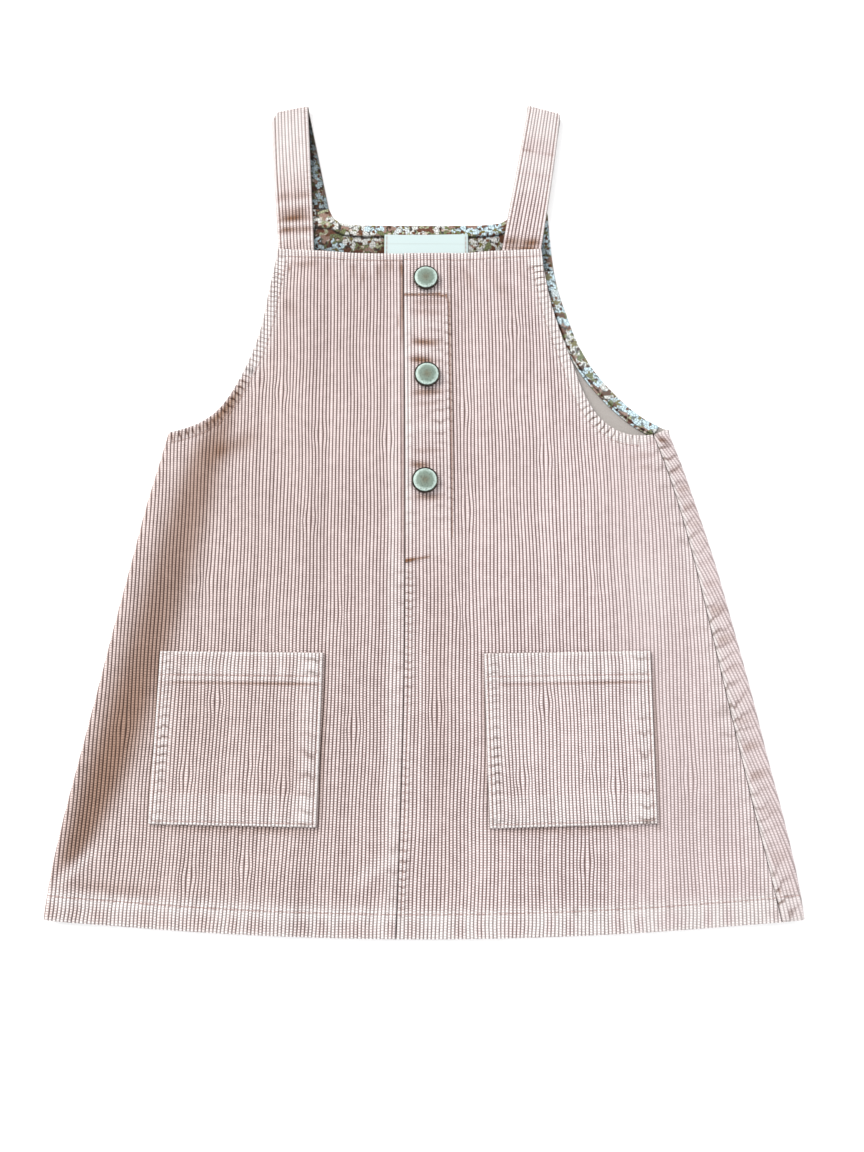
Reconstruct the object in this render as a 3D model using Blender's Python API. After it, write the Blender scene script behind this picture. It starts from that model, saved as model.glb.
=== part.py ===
"""A toddler's corduroy pinafore dress, lying flat with its front up.

The dress is an A-line tube of two front panels and a back, with a buttoned placket, two patch
pockets and two shoulder straps lined with printed cotton.  It is laid out so that the tube has
turned a little: the right side seam shows on top, and the left one is underneath.

Every piece of cloth is cut as a flat pattern first, in millimetres: "across" counts along the
cloth from the piece's middle line, and "up" counts from the hem.  A second function lays that
pattern out in space, over the fold at each side or over the shoulder.  A wall has an outer skin,
which carries the raised corduroy wales wherever it doesn't rest on the table, and a plain inner
skin.

Frame: X to the viewer's right, Y towards the straps, Z up, the origin under the middle of the
dress on the table.
"""

import math

import bmesh
import bpy
import numpy as np
from mathutils import Vector
from mathutils.geometry import delaunay_2d_cdt

MM = 0.001

# ---------------------------------------------------------------- driving sizes, millimetres
LENGTH = 550.0            # hem to the top of the straps
WALL = 1.5                # corduroy
PRINT_WALL = 1.0          # printed cotton, and the label
SEAM_GAP = 0.3            # between two pieces that are sewn together
WALE_PITCH = 2.2          # corduroy of 11 to 12 wales to the inch
WALE_RISE = 0.6
SKIRT_GAP = 0.9           # air between the front and the back of the skirt
BODICE_GAP = 1.6          # the same behind the bib, where the facing lies
LEFT_ROLL = 2.6           # radius of the fold at each side, at the middle of the wall
RIGHT_ROLL = 2.2
ROLL_RUN = 45.0           # over which the cloth comes down from the fold
HEM_DEPTH = 14.7
HEM_RISE = 0.5            # the turned hem stands proud by this
HEM_BOW = 11.0            # how much higher the hem is at the sides than in the middle
HALF_HEM = 220.0
HEM_LEVEL = 10.0          # height of the hem at the side seams
HALF_STEP = 0.4           # half the width of the step up to a turned edge
UNDERARM = 306.0
BIB_TOP = 436.8
BIB_MIDDLE = -11.0        # X of the middle of the bib's top edge
BIB_HALF = 89.0           # half the length of that edge
BIB_DIP = 2.4             # it sags this much in the middle
ARMPIT_RISE = 3.2         # the back's armhole is higher where it goes over the fold
ARMPIT_SLOPE = 0.4        # and rises this much more at each step round the fold
BACK_CENTRE = -3.2        # X of the middle of the back
STRAP_SEAM = 470.0        # where a strap joins the back
STRAP_END = 424.0         # where its other end is sewn behind the bib
FACING_END = 424.0        # lower edge of the neck facing
FACING_WIDTH = 9.0        # of the strip along the armhole
TRIM = 0.4                # facings and linings stop this far inside the edge
PLACKET_WIDTH = 31.5
PLACKET_RISE = 0.6        # the placket is thicker than the panel beside it
LABEL = dict(left=-28.0, right=28.6, top=449.8, bottom=427.0)
BUTTON_RADIUS = 8.5
RIM_WIDTH = 0.9
RIM_HEIGHT = 1.8
RIM_ROUND = 0.4           # the rim's outer edge is rounded by this
PAN_HEIGHT = 0.9          # floor of the rim's dish, over its underside
CAP_RISE = 2.6            # top of the domed face, over the rim's underside
DOME_RISE = 0.9
FACE_CLEARANCE = 0.15     # round the face, inside the rim
SHANK_RADIUS = 2.6
BUTTON_LIFT = 1.1         # air under the rim of a button

# Outline of the tube from the hem to the underarm
SIDES = (
    # up, left fold, right fold, right seam
    (0.0, -220.6, 220.4, 207.4),
    (33.0, -218.4, 217.4, 201.9),
    (66.0, -213.6, 212.2, 195.6),
    (101.0, -206.9, 205.4, 189.4),
    (137.0, -200.0, 198.9, 183.1),
    (186.0, -190.9, 188.9, 174.7),
    (223.0, -183.6, 180.9, 168.0),
    (262.0, -176.1, 170.7, 159.6),
    (289.0, -169.8, 163.0, 152.2),
    (306.0, -166.0, 157.3, 146.5),
)
CENTRE_FRONT = (
    # up, X of the centre front seam
    (0.0, -16.6),
    (78.0, -14.3),
    (150.0, -12.9),
    (222.0, -12.8),
    (437.0, -15.0),
)
# Armholes of the two fronts: along the cloth from the centre front, and height above the hem
LEFT_ARMHOLE = (
    # across, up
    (84.8, 436.8),
    (85.4, 430.0),
    (88.0, 415.0),
    (90.8, 400.5),
    (93.6, 386.0),
    (97.3, 372.0),
    (102.3, 357.7),
    (108.5, 343.7),
    (115.8, 330.5),
    (121.5, 322.9),
    (130.0, 315.8),
    (143.0, 309.6),
    (151.0, 307.4),
)
RIGHT_ARMHOLE = (
    # across, up
    (92.6, 436.8),
    (93.4, 426.0),
    (97.6, 399.5),
    (103.2, 379.0),
    (110.2, 356.5),
    (117.8, 333.0),
    (127.0, 317.4),
    (139.6, 308.0),
    (152.0, 305.6),
)
# Armholes of the back: distance from the centre back, and height above the hem
BACK_RIGHT_ARMHOLE = (
    # across, up
    (86.6, 470.0),
    (87.5, 455.0),
    (88.2, 437.4),
    (91.7, 411.7),
    (97.7, 390.0),
    (105.5, 367.6),
    (114.4, 351.3),
    (125.3, 337.2),
    (135.8, 326.2),
    (146.6, 317.6),
    (154.6, 313.2),
)
BACK_LEFT_ARMHOLE = (
    # across, up
    (86.4, 470.0),
    (87.4, 455.0),
    (88.2, 437.0),
    (91.7, 411.7),
    (97.5, 390.0),
    (105.0, 367.0),
    (111.6, 351.3),
    (118.8, 337.5),
    (127.6, 325.4),
    (137.6, 316.1),
    (148.4, 309.6),
)
NECKLINE = (
    # distance from the centre back, up
    (0.0, 457.5),
    (27.0, 457.8),
    (46.0, 458.4),
    (55.0, 460.0),
    (60.5, 464.0),
    (62.8, 470.0),
)
PLACKET_FOOT = (
    # across, up
    (0.0, 222.0),
    (16.0, 223.4),
    (26.5, 229.4),
    (31.5, 240.0),
)
STRAPS = {
    # name: X of the strap's middle at the back, the shoulder, the bib and its sewn end; height of
    # the fold and how it slants; width at the bib and halfway up
    "left": dict(back=-78.0, top=-93.2, bib=-87.4, end=-86.8, fold=543.4, slant=0.47, bib_width=24.2,
                 mid_width=24.8),
    "right": dict(back=71.6, top=83.4, bib=64.4, end=62.2, fold=545.6, slant=-0.29, bib_width=26.6,
                  mid_width=25.2),
}
STRAP_WIDTH = 23.2
POCKETS = {
    # name: corners as X and up, from the top left one clockwise
    "left": ((-161.8, 166.3), (-62.3, 165.3), (-63.8, 62.3), (-162.8, 64.3)),
    "right": ((35.8, 164.8), (137.7, 166.4), (136.8, 64.5), (38.0, 61.8)),
}
POCKET_HEM = 15.5
POCKET_TURN = 18.5        # the turned-in lower edge, which shows through
POCKET_RISE = 0.3
BUTTONS = (
    # X and up of each button's middle
    (0.2, 414.6),
    (1.0, 346.5),
    (-0.2, 274.8),
)

# Heights of the cloth's rows above the hem: closer where the bib climbs over the straps
ROWS = (80.0, 150.0, 220.0, 285.0, 345.0, 375.0, 390.0, 405.0, 419.0)
BIB_CLIMB = (375.0, 419.0)
BODICE_CLIMB = (240.0, 290.0)
ROLL_STEPS = 6
SEAM_ROWS = (60.0, 120.0, 180.0, 240.0, 285.0)
FOLD_ROWS = (25.0, 60.0, 100.0, 140.0, 180.0, 220.0, 255.0, 280.0, 296.0)
STRAP_REACH = 40.0        # the bib is lifted this far either side of a strap's middle
STRAP_SLOPE = 24.0        # and comes down over this much of it

# Layers from the table up, at the shoulders and behind the bib
FACING_FLOOR = WALL + SEAM_GAP
LABEL_FLOOR = FACING_FLOOR + PRINT_WALL + SEAM_GAP
TURN_HEIGHT = FACING_FLOOR + PRINT_WALL + SEAM_GAP / 2
STRAP_TURN = TURN_HEIGHT - WALL / 2
LINING_TURN = TURN_HEIGHT - FACING_FLOOR - PRINT_WALL / 2
STRAP_TOP = 2 * TURN_HEIGHT
LABEL_LIFT = LABEL_FLOOR + PRINT_WALL + SEAM_GAP - WALL - BODICE_GAP
STRAP_LIFT = STRAP_TOP + SEAM_GAP - WALL - BODICE_GAP

FINISHES = {
    # name: red, green, blue, roughness, metallic
    "corduroy": (0.68, 0.50, 0.48, 0.95, 0.0),
    "printed_cotton": (0.42, 0.37, 0.28, 0.85, 0.0),
    "label": (0.80, 0.86, 0.82, 0.8, 0.0),
    "button_face": (0.40, 0.52, 0.44, 0.4, 0.0),
    "button_rim": (0.10, 0.09, 0.08, 0.4, 0.9),
}


# ---------------------------------------------------------------- small helpers
def smooth(value):
    """A rise from 0 to 1 with a level start and end."""
    value = np.clip(value, 0.0, 1.0)
    return value * value * (3 - 2 * value)


def curve(rows, column):
    """A smooth function of a table's first column, through one of its other columns."""
    keys = np.array([row[0] for row in rows])
    values = np.array([row[column] for row in rows])
    slopes = np.gradient(values, keys)

    def at(key):
        key = np.clip(key, keys[0], keys[-1])
        right = np.clip(np.searchsorted(keys, key), 1, len(keys) - 1)
        left = right - 1
        span = keys[right] - keys[left]
        part = (key - keys[left]) / span
        bend = part * (1 - part) * span
        straight = values[left] + part * (values[right] - values[left])
        mean = (values[right] - values[left]) / span
        return straight + bend * ((1 - part) * (slopes[left] - mean) - part * (slopes[right] - mean))

    return at


left_fold = curve(SIDES, 1)
right_fold = curve(SIDES, 2)
right_seam = curve(SIDES, 3)
centre_front = curve(CENTRE_FRONT, 1)


def hem_height(x):
    """The hem is a shallow arc, lowest in the middle."""
    return HEM_BOW * (x / HALF_HEM) ** 2


def left_roll_x(up):
    """X where the left fold begins to turn under."""
    return left_fold(up) + WALL / 2 + LEFT_ROLL


def right_roll_x(up):
    """X where the right fold begins to turn under."""
    return right_fold(up) - WALL / 2 - RIGHT_ROLL


def front_width(up):
    """From the centre front to the side seam, along the cloth."""
    return right_seam(up) - centre_front(up)


def left_roll_start(up):
    """From the centre front to the start of the left fold, along the cloth."""
    return centre_front(up) - left_roll_x(up)


def left_seam(up):
    """X of the left side seam, underneath."""
    return left_roll_x(up) + front_width(up) - left_roll_start(up) - math.pi * LEFT_ROLL


def right_roll_start(up):
    """From the centre back to the start of the right fold, along the cloth."""
    return right_roll_x(up) - BACK_CENTRE


def right_roll_end(up):
    """From the centre back to the end of the right fold, along the cloth."""
    return right_roll_start(up) + math.pi * RIGHT_ROLL


def back_width(up):
    """From the centre back round the right fold to the right side seam, along the cloth."""
    return right_roll_end(up) + right_roll_x(up) - right_seam(up)


def strap_bump(x, middle):
    """One over a strap's end, falling to nothing beside it."""
    return smooth((STRAP_REACH - abs(x - middle)) / STRAP_SLOPE)


def upper_layer(x, up):
    """Height of the middle of the wall of whatever lies on top, above the table."""
    gap = SKIRT_GAP + (BODICE_GAP - SKIRT_GAP) * smooth((up - BODICE_CLIMB[0]) / np.ptp(BODICE_CLIMB))
    over_straps = strap_bump(x, STRAPS["left"]["bib"]) + strap_bump(x, STRAPS["right"]["bib"])
    lift = LABEL_LIFT + (STRAP_LIFT - LABEL_LIFT) * np.minimum(over_straps, 1.0)
    flat = WALL + gap + lift * smooth((up - BIB_CLIMB[0]) / np.ptp(BIB_CLIMB))
    near_left = smooth(1 - (x - left_roll_x(up)) / ROLL_RUN)
    near_right = smooth(1 - (right_roll_x(up) - x) / ROLL_RUN)
    rise = near_left * (2 * LEFT_ROLL - flat) + near_right * (2 * RIGHT_ROLL - flat)
    return WALL / 2 + flat + rise


def front_top(x, up):
    """Height of the crests of the front's wales."""
    return upper_layer(x, up) + WALL / 2 + WALE_RISE


def wale(across):
    """Height of the corduroy above its grooves: a crest midway between every two grooves."""
    return WALE_RISE * (1 - np.abs(2 * np.mod(across / WALE_PITCH, 1.0) - 1))


def stepped(inside):
    """A short straight step from 0 to 1 where the given distance turns positive."""
    return np.clip((inside + HALF_STEP) / (2 * HALF_STEP), 0.0, 1.0)


def turned_hem(x, up):
    """The turned hem's own thickness, with a short step up to it."""
    return HEM_RISE * stepped(HEM_DEPTH - (up - hem_height(x)))


# ---------------------------------------------------------------- where each pattern lies
def lay_front(across, up, lift):
    """A point of a front panel: on top, round the left fold, or under it."""
    turn = (-across - left_roll_start(up)) / LEFT_ROLL
    angle = np.clip(turn, 0.0, math.pi)
    on_top = turn <= 0
    x_flat = centre_front(up) + across
    x_turned = left_roll_x(up) + np.maximum(turn - math.pi, 0.0) * LEFT_ROLL
    x = np.where(on_top, x_flat, x_turned - (LEFT_ROLL + lift) * np.sin(angle))
    z_turned = WALL / 2 + LEFT_ROLL + (LEFT_ROLL + lift) * np.cos(angle)
    z = np.where(on_top, upper_layer(x_flat, up) + lift, z_turned)
    return x, up, z


def lay_back(across, up, lift):
    """A point of the back: on the table, round the right fold, or on top beside the seam."""
    turn = (across - right_roll_start(up)) / RIGHT_ROLL
    angle = np.clip(turn, 0.0, math.pi)
    x_under = np.minimum(BACK_CENTRE + across, right_roll_x(up))
    x_over = right_roll_x(up) - np.maximum(turn - math.pi, 0.0) * RIGHT_ROLL
    x = np.where(turn < math.pi, x_under + (RIGHT_ROLL + lift) * np.sin(angle), x_over)
    z_turned = WALL / 2 + RIGHT_ROLL - (RIGHT_ROLL + lift) * np.cos(angle)
    z = np.where(turn < math.pi, z_turned, upper_layer(x_over, up) + lift)
    return x, up, z


def strap_plan(name, radius):
    """How a strap runs up from the back, over the shoulder and down to the bib.

    Returns a function of the distance across, the distance along and the lift off the wall's
    middle, and the lengths along at which the turn begins, the turn ends and the strap ends.
    """
    plan = STRAPS[name]
    rise = plan["fold"] - STRAP_SEAM
    begins = rise
    ends = rise + math.pi * radius
    whole = ends + plan["fold"] - STRAP_END
    middles = (
        # up, middle of the front run, its width
        (STRAP_END, plan["end"], plan["bib_width"]),
        (BIB_TOP, plan["bib"], plan["bib_width"]),
        (500.0, 0.42 * plan["bib"] + 0.58 * plan["top"], plan["mid_width"]),
        (LENGTH, plan["top"], STRAP_WIDTH),
    )
    front_middle = curve(middles, 1)
    front_scale = curve(middles, 2)

    def lay(across, along, lift):
        """A point of the strap, with its cord side down on the back run and up on the front run."""
        fold = plan["fold"] + plan["slant"] * across - STRAP_TURN
        angle = np.clip((along - begins) / radius, 0.0, math.pi)
        rising = np.clip(along / begins, 0.0, 1.0)
        falling = np.clip((along - ends) / (whole - ends), 0.0, 1.0)
        up_back = STRAP_SEAM + SEAM_GAP + rising * (fold - STRAP_SEAM - SEAM_GAP)
        up_front = fold + falling * (STRAP_END - fold)
        up = np.where(along < ends, up_back, up_front) + (radius + lift) * np.sin(angle)
        back_x = plan["back"] + (plan["top"] - plan["back"]) * rising + across
        front_x = front_middle(up_front) + across * front_scale(up_front) / STRAP_WIDTH
        x = np.where(along < begins, back_x, back_x + smooth(angle / math.pi) * (front_x - back_x))
        x = np.where(along < ends, x, front_x)
        z = TURN_HEIGHT - (radius + lift) * np.cos(angle)
        return x, up, z

    return lay, (begins, ends, whole)


# ---------------------------------------------------------------- from a pattern to a wall
def triangulate(outline, lines, dots):
    """Triangles that fill an outline and keep to the lines.

    Returns the points, the triangles and, for each corner of the outline, its point.
    """
    points = [Vector(corner) for corner in outline]
    edges = []
    for line in lines:
        first = len(points)
        points += [Vector(point) for point in line]
        edges += [(first + step, first + step + 1) for step in range(len(line) - 1)]
    points += [Vector(dot) for dot in dots]
    corners = list(range(len(outline)))
    filled = delaunay_2d_cdt(points, edges, [corners], 1, 1e-4)
    placed, triangles, origins = filled[0], filled[2], filled[3]
    where = {source: index for index, sources in enumerate(origins) for source in sources}
    return [tuple(point) for point in placed], triangles, [where[corner] for corner in corners]


def wall_mesh(name, outline, lay, outer, inner, outer_lines=(), inner_lines=(), dots=()):
    """A closed wall: an outer and an inner skin over one outline, joined round its edge.

    The outer and inner functions give each skin's distance from the middle of the wall.
    """
    vertices = []
    faces = []
    rims = []
    for offset, lines in ((outer, outer_lines), (inner, inner_lines)):
        points, triangles, rim = triangulate(outline, lines, dots if offset is inner else ())
        across = np.array([point[0] for point in points])
        up = np.array([point[1] for point in points])
        x, y, z = lay(across, up, offset(across, up))
        first = len(vertices)
        vertices += [
            (px * MM, (py - LENGTH / 2) * MM, pz * MM)
            for px, py, pz in zip(x.tolist(), y.tolist(), z.tolist())
        ]
        order = 1 if offset is outer else -1
        faces += [tuple(first + corner for corner in triangle[::order]) for triangle in triangles]
        rims.append([first + corner for corner in rim])
    over, under = rims
    for index in range(len(over)):
        after = (index + 1) % len(over)
        faces.append((over[index], under[index], under[after], over[after]))
    mesh = bpy.data.meshes.new(name)
    mesh.from_pydata(vertices, [], faces)
    shell = bmesh.new()
    shell.from_mesh(mesh)
    bmesh.ops.remove_doubles(shell, verts=shell.verts, dist=1e-6)
    bmesh.ops.recalc_face_normals(shell, faces=shell.faces)
    shell.to_mesh(mesh)
    shell.free()
    return mesh


def finish(finish_name, piece_name):
    """One piece's own material, in one of the finishes."""
    red, green, blue, roughness, metallic = FINISHES[finish_name]
    material = bpy.data.materials.new(f"{finish_name}_{piece_name}")
    material.use_nodes = True
    shader = material.node_tree.nodes["Principled BSDF"]
    shader.inputs["Base Color"].default_value = (red, green, blue, 1.0)
    shader.inputs["Roughness"].default_value = roughness
    shader.inputs["Metallic"].default_value = metallic
    material.diffuse_color = (red, green, blue, 1.0)
    return material


def place(name, mesh, finish_name):
    """Put a mesh in the scene as one named piece."""
    piece = bpy.data.objects.new(name, mesh)
    bpy.context.scene.collection.objects.link(piece)
    mesh.materials.append(finish(finish_name, name))
    return piece


# ---------------------------------------------------------------- pattern helpers
def columns(start, stop):
    """Every groove and crest of the cloth between two distances across it."""
    step = WALE_PITCH / 2
    first = math.ceil(start / step + 0.25)
    last = math.floor(stop / step - 0.25)
    return [index * step for index in range(first, last + 1)]


def crossing(width, across):
    """Height at which a width that shrinks upwards equals the given distance across."""
    heights = np.linspace(0.0, UNDERARM, 307)
    return float(np.interp(-across, -width(heights), heights))


def height_on(edge, across):
    """Height of an edge, given as corners in order across, at one distance across."""
    keys = [corner[0] for corner in edge]
    return float(np.interp(across, keys, [corner[1] for corner in edge]))


def rounded(rows, count=40):
    """An armhole's table drawn as a smooth curve with even steps in height and across."""
    table = np.array(rows)
    travel = np.concatenate(([0.0], np.cumsum(np.hypot(*np.diff(table, axis=0).T))))
    across = curve(list(zip(travel, table[:, 0])), 1)
    up = curve(list(zip(travel, table[:, 1])), 1)
    steps = np.linspace(0.0, travel[-1], count)
    return [(float(across(step)), float(up(step))) for step in steps]


def bib_edge(across):
    """Height of the bib's top edge, which sags between the straps."""
    from_middle = (centre_front(BIB_TOP) + across - BIB_MIDDLE) / BIB_HALF
    return BIB_TOP - BIB_DIP * (1 - np.clip(from_middle, -1, 1) ** 2)


def hem_edge(lay, across):
    """Height of the hem where the pattern's line meets it."""
    x = lay(np.array([across]), np.array([HEM_LEVEL]), np.zeros(1))[0][0]
    return float(hem_height(x))


def riser(across, bottom, top):
    """One groove or crest from the hem up, with a point at each row it passes."""
    marks = [bottom + HEM_DEPTH - HALF_STEP, bottom + HEM_DEPTH + HALF_STEP] + list(ROWS)
    inside = [mark for mark in marks if bottom + 1.0 < mark < top - 1.5]
    return [(across, mark) for mark in [bottom] + inside + [top]]


# ---------------------------------------------------------------- the two fronts
def front_edge_left(across):
    """Height of the left front's upper edge at a distance across."""
    if across <= LEFT_ARMHOLE[0][0]:
        return float(bib_edge(-across))
    return height_on(LEFT_EDGE, across)


def front_edge_right(across):
    """Height of the right front's upper edge: bib, armhole, then the side seam."""
    if across <= RIGHT_ARMHOLE[0][0]:
        return float(bib_edge(across))
    return height_on(RIGHT_EDGE, across)


SEAM_HEIGHTS = np.linspace(UNDERARM, 0.0, 35)
LEFT_EDGE = rounded(LEFT_ARMHOLE + ((float(front_width(UNDERARM)), UNDERARM - 1.5),))
RIGHT_EDGE = rounded(RIGHT_ARMHOLE + ((float(front_width(UNDERARM)), UNDERARM),))
RIGHT_EDGE += [(float(front_width(height)), float(height)) for height in SEAM_HEIGHTS[1:]]


def front_outer(across, up):
    """The outer skin of a front: wales on top and over the fold, flat underneath."""
    x = lay_front(across, up, np.zeros_like(up))[0]
    turn = (-across - left_roll_start(up)) / LEFT_ROLL / math.pi
    relief = wale(across) * smooth(1 - ROLL_STEPS * turn) + turned_hem(x, up) * smooth(1 - 2 * turn)
    return WALL / 2 + relief


def plain_inner(across, up):
    """The plain inner skin of a corduroy wall."""
    return np.full_like(up, -WALL / 2)


def left_front():
    """The left front panel, with its edge folded under to the hidden side seam."""
    gap = SEAM_GAP / 2
    roll_hem = float(left_roll_start(HEM_LEVEL))
    roll_top = float(left_roll_start(UNDERARM))
    widest = float(front_width(HEM_LEVEL)) - gap
    narrowest = float(front_width(UNDERARM)) - gap
    step = math.pi * LEFT_ROLL / ROLL_STEPS

    def hem_point(across):
        return (-across, hem_edge(lay_front, -across))

    hem_turn = [roll_hem + index * step for index in range(ROLL_STEPS + 1)]
    top_turn = [roll_top + index * step for index in range(ROLL_STEPS + 1)]
    hem_across = [gap] + columns(gap, roll_hem) + hem_turn + [widest]
    hem = [hem_point(across) for across in hem_across]
    seam = [(-float(front_width(height)) + gap, height) for height in SEAM_ROWS]
    armhole_across = [narrowest] + top_turn[::-1] + columns(LEFT_ARMHOLE[0][0], roll_top)[::-1]
    bib_across = [LEFT_ARMHOLE[0][0]] + columns(gap, LEFT_ARMHOLE[0][0])[::-1] + [gap]
    upper = [(-across, front_edge_left(across)) for across in armhole_across + bib_across]
    middle = [(-gap, height) for height in ROWS[::-1]]
    middle += [(-gap, hem[0][1] + HEM_DEPTH + HALF_STEP), (-gap, hem[0][1] + HEM_DEPTH - HALF_STEP)]
    outline = hem + seam + upper + middle

    crests = []
    roll_line = [(-top_turn[0], front_edge_left(top_turn[0]))]
    for across in columns(gap, roll_hem):
        bottom = hem_point(across)[1]
        top = front_edge_left(across)
        if across > roll_top:
            top = crossing(left_roll_start, across)
            roll_line.append((-across, top))
        crests.append(riser(-across, bottom, top))
    roll_line.append(hem_point(roll_hem))

    def turn_line(index):
        heights = [25.0] + [row for row in ROWS if row < UNDERARM - 10]
        line = [(-float(left_roll_start(height)) - index * step, height) for height in heights]
        foot = hem_point(hem_turn[index])
        head = (-top_turn[index], front_edge_left(top_turn[index]))
        return [foot] + line + [head]

    turns = [turn_line(index) for index in range(1, ROLL_STEPS + 1)]
    sparse = [
        (-across, height)
        for across in np.arange(10.0, 200.0, 10.0)
        for height in (HEM_DEPTH + 10.0,) + ROWS
        if height < front_edge_left(across) - 4 and across < left_roll_start(height) - 4
    ]
    mesh = wall_mesh(
        "front_left",
        outline,
        lay_front,
        front_outer,
        plain_inner,
        outer_lines=crests + [roll_line] + turns,
        inner_lines=[turn_line(0)] + turns,
        dots=sparse,
    )
    return place("front_left", mesh, "corduroy")


def right_front():
    """The right front panel, with the placket's place cut out of it."""
    gap = SEAM_GAP / 2
    beside = PLACKET_WIDTH + SEAM_GAP
    widest = float(front_width(HEM_LEVEL)) - gap
    seam_top = float(front_width(UNDERARM)) - gap

    def edge(across):
        return front_edge_right(across + gap if across > seam_top - 4 else across)

    def foot(across):
        shifted = [(corner[0] + SEAM_GAP * 0.5, corner[1] - SEAM_GAP) for corner in PLACKET_FOOT]
        shifted[0] = (0.0, shifted[0][1])
        shifted[-1] = (beside, shifted[-1][1])
        return height_on(shifted, across)

    inside = columns(gap, beside)
    outside = columns(beside, widest - 0.6)
    hem_across = [gap] + inside + [beside] + outside + [widest]
    hem = [(across, hem_edge(lay_front, across)) for across in hem_across]
    turned = [across for across in outside if across > RIGHT_ARMHOLE[0][0]]
    bib = [across for across in outside if across < RIGHT_ARMHOLE[0][0]]
    upper = [(across, edge(across)) for across in turned[::-1]]
    upper += [(RIGHT_ARMHOLE[0][0], BIB_TOP)]
    upper += [(across, edge(across)) for across in bib[::-1]] + [(beside, edge(beside))]
    notch = [(beside, height) for height in ROWS[::-1] if height > foot(beside) + 4]
    notch += [(beside, foot(beside))] + [(across, foot(across)) for across in inside[::-1]]
    notch += [(gap, foot(gap))]
    middle = [(gap, height) for height in ROWS[::-1] if height < foot(gap) - 4]
    middle += [(gap, hem[0][1] + HEM_DEPTH + HALF_STEP), (gap, hem[0][1] + HEM_DEPTH - HALF_STEP)]
    outline = hem + upper + notch + middle

    crests = [riser(across, hem_edge(lay_front, across), foot(across)) for across in inside]
    crests.append(riser(beside, hem_edge(lay_front, beside), foot(beside)))
    crests += [riser(across, hem_edge(lay_front, across), edge(across)) for across in outside]
    sparse = [
        (across, height)
        for across in np.arange(5.0, 218.0, 10.0)
        for height in (HEM_DEPTH + 10.0,) + ROWS
        if height < edge(across) - 4 and (across > beside + 3 or height < foot(across) - 4)
    ]
    mesh = wall_mesh(
        "front_right",
        outline,
        lay_front,
        front_outer,
        plain_inner,
        outer_lines=crests,
        dots=sparse,
    )
    return place("front_right", mesh, "corduroy")


def placket():
    """The placket: a thicker band in the right front, down from the bib's edge."""
    gap = SEAM_GAP / 2
    inside = columns(gap, PLACKET_WIDTH)
    across_all = [gap] + inside + [PLACKET_WIDTH]
    foot = [(across, height_on(PLACKET_FOOT, across)) for across in across_all]
    head = [(across, float(bib_edge(across))) for across in across_all[::-1]]
    rows = [height for height in ROWS if height > PLACKET_FOOT[-1][1] + 4]
    right = [(PLACKET_WIDTH, height) for height in rows]
    left = [(gap, height) for height in rows[::-1]]
    crests = []
    for across in inside:
        bottom = height_on(PLACKET_FOOT, across)
        line = [(across, bottom)] + [(across, height) for height in rows]
        crests.append(line + [(across, float(bib_edge(across)))])

    def outer(across, up):
        return WALL / 2 + PLACKET_RISE + wale(across)

    mesh = wall_mesh(
        "placket",
        foot + right + head + left,
        lay_front,
        outer,
        plain_inner,
        outer_lines=crests,
        dots=[(across, height) for across in (10.0, 21.0) for height in rows],
    )
    return place("placket", mesh, "corduroy")


# ---------------------------------------------------------------- the back and its facings
def back_edge(rows, side):
    """The back's armhole on one side as signed corners, from the strap's seam down."""
    return [(side * across, up) for across, up in rounded(rows)]


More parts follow.
